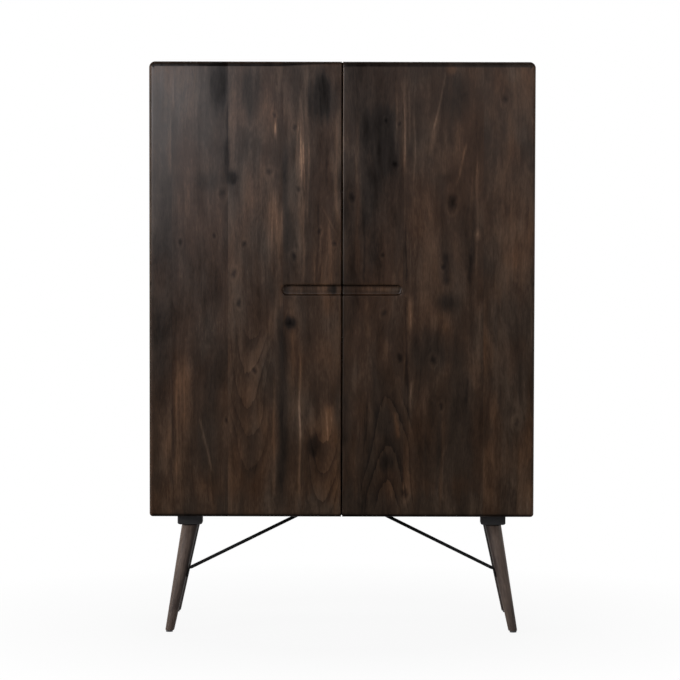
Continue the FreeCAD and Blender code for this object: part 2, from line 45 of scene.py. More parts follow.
# sRGB hex to linear: v / 12.92 below 0.04045, else ((v + 0.055) / 1.055) to the power 2.4
def linear(hexText):
    channels = np.array([int(hexText[i : i + 2], 16) for i in (1, 3, 5)]) / 255
    curved = ((channels + 0.055) / 1.055) ** 2.4
    return (*np.where(channels <= 0.04045, channels / 12.92, curved), 1.0)


# one node: settings are its properties; an input is a value, a socket or a node's first output
def addNode(tree, kind, inputs=None, **settings):
    node = tree.nodes.new("ShaderNode" + kind)
    for name, value in settings.items():
        setattr(node, name, value)
    for socket, value in (inputs or {}).items():
        if isinstance(value, bpy.types.Node):
            value = value.outputs[0]
        if isinstance(value, bpy.types.NodeSocket):
            tree.links.new(value, node.inputs[socket])
        else:
            node.inputs[socket].default_value = value
    return node


# an empty material and its node tree
def newMaterial(name):
    material = bpy.data.materials.new(name)
    material.use_nodes = True
    material.node_tree.nodes.clear()
    return material, material.node_tree


# index quads of a grid of points, rows by columns; each row may close into a ring
def gridQuads(rows, columns, closed=False):
    row = np.arange(rows - 1)[:, None] * columns
    column = np.arange(columns if closed else columns - 1)[None, :]
    here, beside = row + column, row + (column + 1) % columns
    return np.stack([here, beside, beside + columns, here + columns], -1).reshape(-1, 4)


# two points closer than "weld" are one, and an edge shorter than "edge" is a point
joining = {"weld": 0.004 * mm, "edge": 0.002 * mm}


# joins patches, each (points, list of faces), into one closed mesh: doubles merged, normals out,
# edges sharper than the given angle left sharp
def makePiece(name, patches, material, body, stands=(), sharpAngle=40):
    points, faces, start = [], [], 0
    for patchPoints, patchFaces in patches:
        flat = np.asarray(patchPoints, float).reshape(-1, 3)
        points.append(flat * mm)
        faces += [tuple(int(i) + start for i in face) for face in patchFaces]
        start += len(flat)
    mesh = bpy.data.meshes.new(name)
    mesh.from_pydata(np.concatenate(points).tolist(), [], faces)
    work = bmesh.new()
    work.from_mesh(mesh)
    bmesh.ops.remove_doubles(work, verts=work.verts, dist=joining["weld"])
    bmesh.ops.dissolve_degenerate(work, edges=work.edges, dist=joining["edge"])
    bmesh.ops.recalc_face_normals(work, faces=work.faces)
    work.to_mesh(mesh)
    work.free()
    mesh.shade_smooth()
    mesh.set_sharp_from_angle(angle=math.radians(sharpAngle))
    mesh.materials.append(material)
    piece = bpy.data.objects.new(name, mesh)
    bpy.context.scene.collection.objects.link(piece)
    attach(piece, body)
    if stands:
        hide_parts(*stands)
    return piece


# writes a value for every vertex, for the materials to read
def storeOnPoints(piece, name, values):
    kind, field = ("FLOAT_VECTOR", "vector") if values.ndim == 2 else ("FLOAT", "value")
    layer = piece.data.attributes.new(name, kind, "POINT")
    layer.data.foreach_set(field, values.astype(np.float32).ravel())


# the places of a piece's vertices, in mm
def pointsOf(piece):
    flat = np.empty(len(piece.data.vertices) * 3)
    piece.data.vertices.foreach_get("co", flat)
    return flat.reshape(-1, 3) / mm


# Acacia boards, glued up edge to edge, sanded, stained espresso and sprayed with satin lacquer.
# To the eye: near-black brown in soft blotches, red here and olive there, fine growth lines that
# come and go, each board with its own tone, and a low soft gloss.
stainedAcacia = {
    # layers of noise: mm across and along the grain, detail, roughness. Real pores are near 0.3 mm
    # wide and wouldn't show, so the fibres are drawn coarser.
    "layers": {
        "line": (5.5, 210.0, 2, 0.6),
        "fibre": (2.8, 15.0, 1, 0.5),
        "streak": (15.0, 130.0, 2, 0.55),
        "cloud": (52.0, 160.0, 4, 0.6),
        "hue": (75.0, 210.0, 2, 0.5),
    },
    "weights": {"line": 0.15, "fibre": 0.22, "streak": 0.20, "cloud": 0.66},
    "meanTone": 0.481,
    "boardSpread": 0.12,  # how much lighter or darker a board may be
    "markGain": 1.2,  # marks follow the growth lines: this much times the line layer,
    "markFloor": 0.3,  # and this much anyway
    "shades": ((0.0, "#0e0a08"), (0.28, "#1f1610"), (0.5, "#33251b"), (0.75, "#554133"), (1.0, "#917564")),
    "coolStain": "#d8dcd8",  # tints that multiply the shades
    "warmStain": "#ffe6c1",
    "stainGain": 2.6,  # how fast the hue layer turns the stain from cool to warm
    "stainStart": -0.8,
    "glue": "#0c0908",
    "glueHalf": 0.5,  # mm to each side of a joint
    "glueShare": 0.3,
    "bend": 0.25,  # how much the noise bends its own pattern
    "boardShift": (0.0, 19.0, 19.0),  # furthest that a board shifts its pattern, in noise cells
    "ringWander": {"hue": 1.2, "line": 0.25},  # layers that make the pointed rings wander
    "ringStart": 0.72,
    "ringPower": 3.0,
    "roughness": 0.44,
    "roughWeights": {"fibre": 0.10, "streak": 0.26, "cloud": 0.20},
    "specular": 0.055,
    "shineGain": 1.7,  # how much more the light grain shines than the dark
    "shineStart": 0.2,
    "shineRange": (0.05, 1.6),
    "relief": {"line": 0.5},  # besides the fibres
    "reliefStrength": 0.35,
    "poreDepth": 0.12,  # mm
}


# "run" is the axis that the grain runs along; "piece" reads the place in the grain that a
# piece's own function wrote on its points as (across, depth, along). The figure attribute on the
# points is (tone, warmth, rings) of the figure's marks together with painted light and shade, and
# is zero where a piece has none. Without joints or a width, the piece is one board.
def acaciaMaterial(name, run, joints=(), boardWidth=1e6, lift=0.0, seed=0.0, grey=0.0, **changed):
    values = {**stainedAcacia, **changed}
    material, tree = newMaterial(name)
    here = addNode(tree, "TexCoord").outputs["Object"]
    boardAxis = addNode(tree, "SeparateXYZ", {0: here}).outputs["Y" if run == "x" else "X"]
    if run == "piece":
        here = addNode(tree, "Attribute", attribute_name="grainPlace").outputs["Vector"]
    figureAndLight = addNode(tree, "Attribute", attribute_name="figureAndLight").outputs["Vector"]
    tone, warmth, rings = addNode(tree, "SeparateXYZ", {0: figureAndLight}).outputs

    # which board a point is on, and a random number for that board that shifts its pattern
    if joints:
        board = seed
        for joint in joints:
            past = addNode(tree, "Math", {0: boardAxis, 1: joint * mm}, operation="GREATER_THAN")
            board = addNode(tree, "Math", {0: past, 1: board}, operation="ADD")
    else:
        wide = addNode(tree, "Math", {0: boardAxis, 1: boardWidth * mm}, operation="DIVIDE")
        board = addNode(tree, "Math", {0: wide}, operation="FLOOR")
        board = addNode(tree, "Math", {0: board, 1: seed}, operation="ADD")
    chance = addNode(tree, "TexWhiteNoise", {"W": board}, noise_dimensions="1D")
    furthest = {0: chance.outputs["Color"], 1: values["boardShift"]}
    shift = addNode(tree, "VectorMath", furthest, operation="MULTIPLY")

    layers = {}
    for layer, (width, length, detail, roughness) in values["layers"].items():
        across, along = 1 / (width * mm), 1 / (length * mm)
        scale = {"x": (along, across, across), "y": (across, along, across)}.get(run, (across, across, along))
        place = addNode(tree, "Mapping", {"Vector": here, "Location": shift, "Scale": scale})
        cells = {"Vector": place, "Scale": 1.0, "Detail": detail, "Roughness": roughness}
        layers[layer] = addNode(tree, "TexNoise", {**cells, "Distortion": values["bend"]})

    # the layers by their weights, on top of a start
    def withLayers(start, weights):
        for layer, weight in weights.items():
            start = addNode(tree, "Math", {0: layers[layer], 1: weight, 2: start}, operation="MULTIPLY_ADD")
        return start

    # tone: the layers about their mean of 0.5, the board's own step, and the marks of the figure with the
    # painted light and shade that ride with them
    weights = values["weights"]
    start = values["meanTone"] + lift - 0.5 * sum(weights.values()) - 0.5 * values["boardSpread"]
    total = addNode(tree, "Math", {0: chance, 1: values["boardSpread"], 2: start}, operation="MULTIPLY_ADD")
    total = withLayers(total, weights)
    grainy = withLayers(values["markFloor"], {"line": values["markGain"]})
    marked = addNode(tree, "Math", {0: tone, 1: grainy}, operation="MULTIPLY")
    total = addNode(tree, "Math", {0: total, 1: marked}, operation="ADD")

    # growth rings of a pointed figure: a saw wave over "ringPlace" to a power, so that it is dark
    # only at its sharp side, less its mean of 1 / (power + 1)
    ringPlace = addNode(tree, "Attribute", attribute_name="ringPlace").outputs["Fac"]
    ring = withLayers(ringPlace, values["ringWander"])
    power = values["ringPower"]
    steps = (("SUBTRACT", values["ringStart"]), ("FRACT", 0.0), ("POWER", power), ("ADD", -1 / (power + 1)))
    for operation, value in (*steps, ("MULTIPLY", rings)):
        ring = addNode(tree, "Math", {0: ring, 1: value}, operation=operation)
    total = addNode(tree, "Math", {0: total, 1: ring}, operation="SUBTRACT")

    shades = addNode(tree, "ValToRGB", {0: total})
    elements = shades.color_ramp.elements
    for position, _ in values["shades"][1:-1]:
        elements.new(position)
    for element, (position, colour) in zip(elements, values["shades"]):
        element.position, element.color = position, linear(colour)
    # warm and cool places in the stain
    warm = withLayers(values["stainStart"] - grey, {"hue": values["stainGain"]})
    warm = addNode(tree, "Math", {0: warm, 1: warmth}, operation="ADD", use_clamp=True)
    stains = {0: warm, 6: linear(values["coolStain"]), 7: linear(values["warmStain"])}
    tint = addNode(tree, "Mix", stains, data_type="RGBA").outputs[2]
    tinted = addNode(tree, "Mix", {0: 1.0, 6: shades, 7: tint}, data_type="RGBA", blend_type="MULTIPLY")
    colour = tinted.outputs[2]
    if joints:  # a hairline of dark glue between boards
        seam = 0.0
        for joint in joints:
            off = addNode(tree, "Math", {0: boardAxis, 1: joint * mm}, operation="SUBTRACT")
            off = addNode(tree, "Math", {0: off}, operation="ABSOLUTE")
            near = addNode(tree, "Math", {0: off, 1: values["glueHalf"] * mm}, operation="LESS_THAN")
            seam = addNode(tree, "Math", {0: near, 1: seam}, operation="MAXIMUM")
        seam = addNode(tree, "Math", {0: seam, 1: values["glueShare"]}, operation="MULTIPLY")
        glued = addNode(tree, "Mix", {0: seam, 6: colour, 7: linear(values["glue"])}, data_type="RGBA")
        colour = glued.outputs[2]

    # the lacquer is smoother where the grain is closed, so its gloss shows the figure
    roughWeights = values["roughWeights"]
    rough = withLayers(values["roughness"] - 0.5 * sum(roughWeights.values()), roughWeights)
    # dark grain has drunk the lacquer and shines less
    gain = {0: total, 1: values["shineGain"], 2: values["shineStart"]}
    shine = addNode(tree, "Math", gain, operation="MULTIPLY_ADD")
    shine = addNode(tree, "Clamp", {0: shine, 1: values["shineRange"][0], 2: values["shineRange"][1]})
    shine = addNode(tree, "Math", {0: shine, 1: values["specular"]}, operation="MULTIPLY")
    pores = {"Height": withLayers(layers["fibre"], values["relief"]), "Distance": values["poreDepth"] * mm}
    bump = addNode(tree, "Bump", {**pores, "Strength": values["reliefStrength"]})
    sockets = {"Base Color": colour, "Roughness": rough, "Specular IOR Level": shine, "Normal": bump}
    addNode(tree, "OutputMaterial", {0: addNode(tree, "BsdfPrincipled", sockets)})
    return material


speckled = {"dark": 0.72, "detail": 2.0, "strength": 0.5, "smoothest": 0.05}  # "dark" is a share


# Fine metals and plastics: one colour, with a speckle of a real size in its tint, roughness and
# relief. Speckle and relief are in mm, and a speckle stretched along one axis is a brush mark.
def fineMaterial(
    name, colour, metallic, roughness, specular, speckle, relief, stretch=(1, 1, 1), spread=0.15
):
    material, tree = newMaterial(name)
    here = addNode(tree, "TexCoord").outputs["Object"]
    scale = tuple(share / (speckle * mm) for share in stretch)
    place = addNode(tree, "Mapping", {"Vector": here, "Scale": scale})
    noise = addNode(tree, "TexNoise", {"Vector": place, "Scale": 1.0, "Detail": speckled["detail"]})
    smooth, dull = max(roughness - spread, speckled["smoothest"]), min(roughness + spread, 1.0)
    rough = addNode(tree, "MapRange", {0: noise, 3: smooth, 4: dull})
    light = linear(colour)
    dark = (*(speckled["dark"] * channel for channel in light[:3]), 1.0)
    tint = addNode(tree, "Mix", {0: noise, 6: dark, 7: light}, data_type="RGBA").outputs[2]
    specks = {"Height": noise, "Strength": speckled["strength"], "Distance": relief * mm}
    bump = addNode(tree, "Bump", specks)
    sockets = {"Base Color": tint, "Metallic": metallic, "Roughness": rough, "Normal": bump}
    sockets["Specular IOR Level"] = specular
    addNode(tree, "OutputMaterial", {0: addNode(tree, "BsdfPrincipled", sockets)})
    return material


doorJoints = (-442.0, -296.0, -153.0, 0.0, 159.0, 367.0)  # x of the glue lines across both doors
doorWood = acaciaMaterial("stained acacia, door boards", "piece", joints=doorJoints)
legWood = acaciaMaterial(
    "stained acacia, turned", "piece", lift=0.08, seed=3.0, grey=0.6, coolStain="#dadcda",
    weights={"line": 0.28, "fibre": 0.28, "streak": 0.34, "cloud": 0.58},
    shades=((0.0, "#171210"), (0.28, "#2a2421"), (0.5, "#463b38"), (0.75, "#66564e"), (1.0, "#8a776b")),
)
uprightWood = acaciaMaterial("stained acacia, upright grain", "z", boardWidth=142.0, seed=7.0)
levelWood = acaciaMaterial("stained acacia, level grain", "x", boardWidth=118.0, seed=11.0)
deepWood = acaciaMaterial("stained acacia, grain front to back", "y", boardWidth=90.0, seed=17.0)
# Plywood faced with sliced acacia: four wide leaves, flatter and more even than boards
backVeneer = acaciaMaterial(
    "acacia veneer on plywood, stained", "z", boardWidth=241.0, seed=23.0, boardSpread=0.05, poreDepth=0.05,
    weights={"line": 0.16, "fibre": 0.18, "streak": 0.34, "cloud": 0.42},
)
# Steel sprayed with matt black powder: dull, faintly pebbled like fine orange peel; the rods' copy is finer
# and painted darker than the blocks', as painted shade for the rods under the case
powderCoat = fineMaterial("steel, matt black powder coat", "#3a393a", 0.0, 0.82, 0.12, 1.1, 0.05, spread=0.06)
rodCoat = fineMaterial("steel rod, black powder coat", "#0f0f0f", 0.0, 0.8, 0.05, 0.8, 0.03, spread=0.05)
# Steel, blackened to bronze and brushed along the leaf: soft streaks of light
upwards, lengthways = (1, 1, 0.03), (0.03, 1, 1)
bronzedSteel = fineMaterial("steel, bronzed and brushed", "#463d33", 1.0, 0.45, 0.5, 0.5, 0.02, upwards)
bronzedLong = fineMaterial(
    "steel, bronzed, brushed lengthways", "#29241f", 1.0, 0.55, 0.5, 0.5, 0.02, lengthways
)
# Moulded nylon, satin, and moulded ABS, duller
blackNylon = fineMaterial("nylon, moulded black", "#1b1b1c", 0.0, 0.42, 0.5, 0.9, 0.02)
catchPlastic = fineMaterial("ABS, moulded brown", "#241d18", 0.0, 0.55, 0.12, 0.7, 0.02)
# Pressed wool felt: no gloss, tufts near 1 mm
feltPad = fineMaterial("wool felt, pressed", "#2c2622", 0.0, 0.95, 0.1, 1.0, 0.4, spread=0.04)
print("materials made")


# Millimetres throughout; the right-hand door, mirrored for the left
door = {
    "meetingEdge": 1.5,
    "outerEdge": 500.0,
    "front": -228.5,
    "back": -204.5,
    "low": 308.0,
    "high": 1490.0,
    "topCorner": 16.0,
    "bottomCorner": 8.5,
    "roundover": 9.0,
    "meetingRound": 3.0,
    "pitch": 2.4,  # spacing of the points across the front, fine enough for the grain's lines
    "rowPitch": 5.0,  # and along the grain
    "squeezeFrom": 400.0,  # beyond this x the corners draw the columns in
    "edgeColumns": (24, 20, 16, 12.5, 10.4, 9, 7.4, 5.6, 4, 2.6, 1.5, 0.69, 0.17, 0),
    "edgeStep": 4.0,  # from the last plain column to the first of these
    "meetingSteps": 5,
    "backColumns": 22,
    "topRows": 11,
    "bottomRows": 8,
}
pull = {
    "middle": 899.0,
    "halfHeight": 14.0,
    "reach": 156.5,  # from the middle of the cabinet to the round end
    "depth": 13.0,
    "rim": 1.1,  # sanded round at the front
    "cove": 6.0,  # lower wall to floor
    "lip": 5.0,  # wood in front of the undercut
    "undercut": 4.0,
    "margin": 27.0,  # flat front around the pull that follows its outline
    "beyond": 42.0,  # and beyond its round end
    "straightColumns": 60,
    "endColumns": 24,
    "rows": 19,
    "flatRings": 6,
    "bendSteps": 4,
    "wallPoints": 7,
    # eased corners of the undercut, as steps (away from the middle line, deeper) from the corner
    "lipCorner": ((0, -0.6), (0.2, -0.15), (0.6, 0)),
    "innerCorner": ((-1, 0), (-0.3, 0.3), (0, 1)),
    "floorCorner": ((0, -3), (-0.4, -1.5), (-1.5, -0.4), (-3, 0)),
    # points across the floor, above and below its middle line
    "upperFloor": (11, 7, 3.5, 0),
    "lowerFloor": (6, 4, 2, 0),
}


# steps of a quarter circle from 0 to 90 degrees, without its start
def quarter(steps):
    return np.linspace(0, np.pi / 2, steps + 1)[1:]


# places from start to end, a little more than the pitch apart
def evenly(start, end, pitch):
    return np.linspace(start, end, int((end - start) / pitch) + 1)


# where the outer edge lies at a height: a straight side that each corner's circle draws in
def outerEdgeAt(z):
    top = np.clip(z - (door["high"] - door["topCorner"]), 0, door["topCorner"])
    low = np.clip(door["low"] + door["bottomCorner"] - z, 0, door["bottomCorner"])
    drawnIn = door["topCorner"] - np.sqrt(door["topCorner"] ** 2 - top**2)
    drawnIn = drawnIn + door["bottomCorner"] - np.sqrt(door["bottomCorner"] ** 2 - low**2)
    return door["outerEdge"] - drawnIn


# distance in from the door's outline, the meeting edge left out: the least of the distances to
# the straight sides, and inside a corner's square the radius less the distance to its centre
def insetFromOutline(x, z):
    inset = np.minimum(door["outerEdge"] - x, np.minimum(door["high"] - z, z - door["low"]))
    top = (door["topCorner"], door["high"] - door["topCorner"], 1)
    bottom = (door["bottomCorner"], door["low"] + door["bottomCorner"], -1)
    for radius, centreZ, way in (top, bottom):
        overX, overZ = x - (door["outerEdge"] - radius), (z - centreZ) * way
        inCorner = (overX > 0) & (overZ > 0)
        inset = np.where(inCorner, radius - np.hypot(overX, overZ), inset)
    return np.maximum(inset, 0.0)


# how far the roundover lies behind the flat front: a quarter circle over the inset
def roundoverDepth(inset):
    left = np.clip(door["roundover"] - inset, 0, door["roundover"])
    return door["roundover"] - np.sqrt(door["roundover"] ** 2 - left**2)


# section of the pull from its rim to its middle line as (distance from the middle line, depth):
# a quarter circle for the rim; above, a lip with an undercut behind it whose corners are eased;
# below, a plain wall and a quarter circle for the cove; both with the same count of points
def pullSections():
    half, rim, deep, cove = pull["halfHeight"], pull["rim"], pull["depth"], pull["cove"]
    bend = quarter(pull["bendSteps"])
    turn = np.concatenate([[0.0], bend])
    rimArc = np.stack([half + rim - rim * np.sin(turn), rim - rim * np.cos(turn)], 1)
    behind, high = pull["lip"], half + pull["undercut"]
    corners = ((half, behind, "lipCorner"), (high, behind, "innerCorner"), (high, deep, "floorCorner"))
    above = [(away + out, depth + down) for away, depth, kind in corners for out, down in pull[kind]]
    above += [(away, deep) for away in pull["upperFloor"]]
    wall = [(half, depth) for depth in np.linspace(rim, deep - cove, pull["wallPoints"])[1:]]
    coveArc = np.stack([half - cove + cove * np.cos(bend), deep - cove + cove * np.sin(bend)], 1)
    floor = [(away, deep) for away in pull["lowerFloor"]]
    return np.concatenate([rimArc, above]), np.concatenate([rimArc, wall, coveArc, floor])


# One door as a profile carried up its height, with the block around the pull left out and filled
# by rings that follow the pull's outline; a flat piece closes the notch in the meeting edge.
def doorPatches():
    meet, rounding = door["meetingEdge"], door["meetingRound"]
    inner = meet + rounding
    halfBlock = pull["halfHeight"] + pull["margin"]
    endCentre = pull["reach"] - pull["halfHeight"]
    blockEnd = pull["reach"] + pull["beyond"]
    blockLow, blockHigh = pull["middle"] - halfBlock, pull["middle"] + halfBlock

    # columns of the front, as if the outer edge were straight everywhere
    straightColumns = np.linspace(inner, endCentre, pull["straightColumns"])
    arcColumns = np.linspace(endCentre, blockEnd, pull["endColumns"])[1:]
    edgeColumns = door["outerEdge"] - np.array(door["edgeColumns"])
    plainColumns = evenly(blockEnd, edgeColumns[0] - door["edgeStep"], door["pitch"])[1:]
    columns = np.concatenate([straightColumns, arcColumns, plainColumns, edgeColumns])
    blockColumns = len(straightColumns) + len(arcColumns)
    backColumns = np.linspace(door["outerEdge"], meet, door["backColumns"])

    # the loop at each height: front, outer side, back, meeting side, meeting roundover
    def loops(z):
        z = z[:, None]
        start = door["squeezeFrom"]
        share = (outerEdgeAt(z) - start) / (door["outerEdge"] - start)

        # beyond "squeezeFrom" x is scaled so that the last column lands on the outline
        def squeezed(x):
            return np.where(x > start, start + (x - start) * share, x + 0 * z)

        frontX = squeezed(columns[None])
        frontY = door["front"] + roundoverDepth(insetFromOutline(frontX, z))
        backX = squeezed(backColumns[None])
        backY = np.full_like(backX, door["back"])
        turn = quarter(door["meetingSteps"])[::-1][None]
        edgeX = inner - rounding * np.sin(turn) + 0 * z
        edgeY = frontY[:, :1] + rounding * (1 - np.cos(turn))
        x = np.concatenate([frontX, backX, edgeX], 1)
        y = np.concatenate([frontY, backY, edgeY], 1)
        return np.stack([x, y, z + 0 * x], -1)

    lowTurn = np.linspace(0, np.pi / 2, door["bottomRows"])
    highTurn = np.linspace(0, np.pi / 2, door["topRows"])
    lowRows = door["low"] + door["bottomCorner"] * (1 - np.cos(lowTurn))
    highRows = door["high"] - door["topCorner"] * (1 - np.sin(highTurn))
    plainLow = evenly(lowRows[-1], blockLow, door["rowPitch"])[1:]
    plainHigh = evenly(blockHigh, highRows[0], door["rowPitch"])[:-1]
    blockRows = np.linspace(blockLow, blockHigh, pull["rows"])
    stacks = [np.concatenate([lowRows, plainLow]), blockRows, np.concatenate([plainHigh, highRows])]

    patches = []
    for index, rows in enumerate(stacks):
        points = loops(rows)
        quads = gridQuads(len(rows), points.shape[1], closed=True)
        if index == 1:  # leave out the pull's block, the meeting edge and its roundover
            column = quads[:, 0] % points.shape[1]
            lastBack = len(columns) + len(backColumns) - 1
            quads = quads[(column >= blockColumns - 1) & (column < lastBack)]
        patches.append((points, quads))
    for rows, end in ((stacks[0], 0), (stacks[2], -1)):
        cap = loops(rows[[end]])[0]
        patches.append((cap, [range(len(cap))]))

    # rings round the pull: each point of the path looks outwards from the pull's middle line
    arcAngles = np.arctan2(halfBlock, arcColumns - endCentre)
    sideAngles = np.arctan2(blockRows[1:-1][::-1] - pull["middle"], blockEnd - endCentre)
    angles = np.concatenate([arcAngles, sideAngles, -arcAngles[::-1]])
    count = len(straightColumns)
    baseX = np.concatenate([straightColumns, np.full(len(angles), endCentre), straightColumns[::-1]])
    wayX = np.concatenate([np.zeros(count), np.cos(angles), np.zeros(count)])
    wayZ = np.concatenate([np.ones(count), np.sin(angles), -np.ones(count)])
    reachX = (blockEnd - endCentre) / np.maximum(wayX, 1e-9)
    reach = np.minimum(reachX, halfBlock / np.maximum(np.abs(wayZ), 1e-9))
    above, below = pullSections()
    upper = np.clip(wayZ, 0, 1)[:, None]
    away = above[None, :, 0] * upper + below[None, :, 0] * (1 - upper)
    deep = above[None, :, 1] * upper + below[None, :, 1] * (1 - upper)
    flat = np.linspace(0, 1, pull["flatRings"] + 1)[:-1]
    rimEnd = away[:, :1]
    away = np.concatenate([reach[:, None] + (rimEnd - reach[:, None]) * flat, away], 1)
    deep = np.concatenate([np.zeros((len(reach), len(flat))), deep], 1)
    ringX, ringZ = baseX[:, None] + wayX[:, None] * away, pull["middle"] + wayZ[:, None] * away
    rings = np.stack([ringX, door["front"] + deep, ringZ], -1)
    patches.append((rings, gridQuads(*rings.shape[:2])))

    # the meeting roundover carried along the pull's own section
    section = np.concatenate([rings[0], rings[-1][::-1][1:]])
    turn = np.concatenate([[0.0], quarter(door["meetingSteps"])])
    bend = np.stack([-rounding * np.sin(turn), rounding * (1 - np.cos(turn)), 0 * turn], -1)
    edge = section[:, None, :] + bend[None]
    patches.append((edge, gridQuads(*edge.shape[:2])))
    backLine = np.stack(np.broadcast_arrays(meet, door["back"], blockRows), -1)
    notch = np.concatenate([edge[:, -1], backLine])
    patches.append((notch, [range(len(notch))]))
    return patches


# The figure of the door boards, in mm on the front. Streaks: x, lower and upper end, half width,
# how much lighter (+) or darker (-), warmth, and how far they lean sideways per mm of height
streakMarks = (
    # left door
    (-438, 1360, 1486, 3, 0.12, 0.1, 0), (-296, 1180, 1400, 3, -0.22, 0.1, 0),
    (-299, 1190, 1300, 7, -0.17, 0, 0), (-470, 905, 1480, 28, -0.05, -0.9, 0),
    (-146, 960, 1300, 8, -0.18, -0.5, -0.02), (-105, 1150, 1370, 11, 0.06, 0.2, 0),
    (-117, 1180, 1350, 2, 0.18, 0.2, 0.01), (-99, 1140, 1300, 2, 0.20, 0.2, 0),
    (-108, 900, 1486, 6, 0.16, 0.1, 0.01), (-94, 1330, 1480, 4, 0.15, 0.1, 0),
    (-99, 900, 1180, 3, 0.15, 0.2, 0.02), (-178, 905, 1190, 22, 0.09, 0.1, 0.02),
    (-160, 930, 1130, 4, 0.12, 0.1, 0.05), (-14, 1040, 1380, 5, 0.15, 0.2, 0),
    (-30, 905, 1080, 4, 0.11, 0.2, -0.04), (-153, 310, 884, 12, -0.26, -0.5, 0),
    (-416, 305, 765, 21, 0.15, 0.1, 0), (-429, 330, 700, 3, 0.11, 0.1, 0),
    (-347, 700, 872, 18, 0.09, 0, 0), (-352, 405, 580, 3, 0.20, 0.1, -0.21),
    (-176, 330, 700, 3, 0.12, 0.2, 0), (-109, 318, 772, 3, 0.28, 0.1, 0),
    (-36, 485, 612, 15, 0.20, 0.3, 0), (-128, 600, 880, 5, 0.09, 0.2, 0),
    (-472, 560, 900, 26, -0.16, -0.2, 0), (-180, 1000, 1175, 2, 0.14, 0.1, 0),
    (-170, 1005, 1160, 2, 0.13, 0.1, 0), (-106, 1150, 1320, 1.6, 0.22, 0.1, 0),
    (-104, 1090, 1165, 2, 0.20, 0, 0), (-35, 1040, 1125, 2, 0.13, 0.1, -0.58),
    (-72, 905, 1000, 2, 0.12, 0.1, 0), (-54, 905, 990, 2, 0.12, 0.1, 0),
    (-88, 1020, 1320, 2, 0.16, 0.2, 0.01), (-63, 905, 1150, 2, -0.16, 0, 0.03),
    (-40, 1150, 1300, 3, -0.12, 0.1, -0.02),
    # right door
    (112, 1385, 1486, 20, -0.04, -0.1, 0), (40, 905, 1400, 8, 0.10, 0.5, 0),
    (57, 905, 1120, 3, -0.16, 0, 0), (172, 1240, 1440, 2, 0.16, 0, 0.01),
    (187, 1150, 1470, 2, 0.16, 0, 0), (79, 1400, 1460, 3, 0.12, 0, 0),
    (76, 930, 1240, 20, -0.11, -0.3, 0), (151, 1190, 1486, 13, 0.15, 0.1, 0),
    (161, 1180, 1470, 3, 0.24, 0, 0), (140, 1240, 1470, 3, 0.15, 0.1, 0),
    (252, 1300, 1475, 3, 0.24, 0, 0.20), (240, 1240, 1380, 8, 0.11, 0, 0.22),
    (309, 1160, 1292, 3, 0.21, 0, 0.26), (350, 905, 1290, 4, 0.16, 0, 0),
    (334, 1000, 1240, 3, 0.12, 0.1, 0.02), (350, 1020, 1065, 7, 0.12, 0, 0),
    (270, 905, 1005, 8, -0.28, -0.1, -0.04), (333, 905, 1000, 5, -0.20, 0, 0),
    (166, 560, 1160, 2, -0.21, 0, 0), (208, 905, 1190, 26, 0.06, 0.2, 0),
    (67, 770, 889, 7, 0.15, 0.1, -0.06), (178, 793, 889, 5, 0.14, -0.1, 0),
    (171, 548, 751, 3, -0.24, 0, 0), (180, 610, 668, 4, 0.25, -0.1, 0),
    (142, 505, 590, 5, 0.18, 0.6, -0.10), (262, 312, 587, 6, 0.11, 0.2, 0.04),
    (357, 702, 889, 5, 0.15, -0.1, 0.02), (325, 600, 680, 4, -0.20, 0, 0),
    (10, 480, 640, 8, -0.12, -0.1, 0.04), (33, 310, 560, 9, 0.07, 0.3, 0),
)
# soft blotches: x, height, half width, half height, lighter or darker, warmth
blotchMarks = (
    # left door
    (-322, 1430, 26, 64, -0.24, -0.9), (-238, 1410, 25, 64, -0.25, -0.7),
    (-284, 1190, 17, 17, -0.34, -0.3), (-400, 1400, 46, 90, 0.12, -0.2), (-24, 899, 13, 12, -0.34, -0.8),
    (-350, 1180, 44, 24, -0.10, -0.3), (-54, 1398, 30, 58, -0.46, -0.8), (-58, 1180, 32, 90, -0.12, 0.3),
    (-470, 960, 26, 60, -0.12, 0.6), (-400, 1250, 60, 120, 0.05, 0.2), (-72, 492, 17, 28, -0.33, -0.2),
    (-250, 470, 40, 90, -0.07, 0.1), (-330, 380, 34, 50, 0.05, 0.2), (-440, 350, 50, 40, 0.06, 0.4),
    # (-250, 325, ...) is a painted reflection: it greys the bottom of the left door as the white floor would
    # in the lacquer
    (-20, 860, 30, 34, 0.05, 0.4), (-250, 325, 300, 45, 0, -0.5), (-133, 815, 14, 15, -0.30, -0.8),
    # right door
    # (130, 899, ...) is a painted highlight in the pull near its right end, whose end wall faces the key
    # light
    (130, 899, 26, 8, 0.14, -0.7), (98, 1312, 46, 62, -0.16, -1.0), (114, 1250, 32, 46, -0.10, -0.7),
    # (250, 325, ...) is a painted reflection: it greys the bottom of the right door as the white floor would
    # in the lacquer
    (250, 325, 300, 50, 0.03, -0.5), (430, 700, 60, 300, 0.02, -0.3), (62, 1316, 12, 50, -0.05, -1.2),
    (134, 1226, 18, 16, -0.06, 0.2), (298, 1400, 28, 66, -0.16, -0.5), (282, 1470, 16, 14, 0.10, 0.7),
    (285, 1130, 18, 28, -0.09, 0.1), (272, 1188, 12, 14, -0.18, 0.2), (440, 1460, 26, 20, 0.10, -0.4),
    (425, 1400, 22, 22, -0.12, -0.2), (440, 1250, 60, 180, 0.03, -0.2), (448, 1060, 26, 30, 0.10, -0.2),
    (465, 1300, 18, 24, 0.07, -0.2), (275, 868, 24, 22, -0.22, -0.3), (235, 740, 60, 60, -0.07, -0.3),
    (116, 452, 17, 24, -0.27, -0.4), (112, 560, 30, 40, -0.07, -0.3), (250, 820, 40, 30, 0.10, 0),
    (300, 470, 60, 120, -0.03, -0.4), (240, 480, 26, 120, -0.07, -0.4), (430, 700, 60, 200, -0.07, -0.2),
    (455, 560, 14, 16, 0.12, -0.2),
)
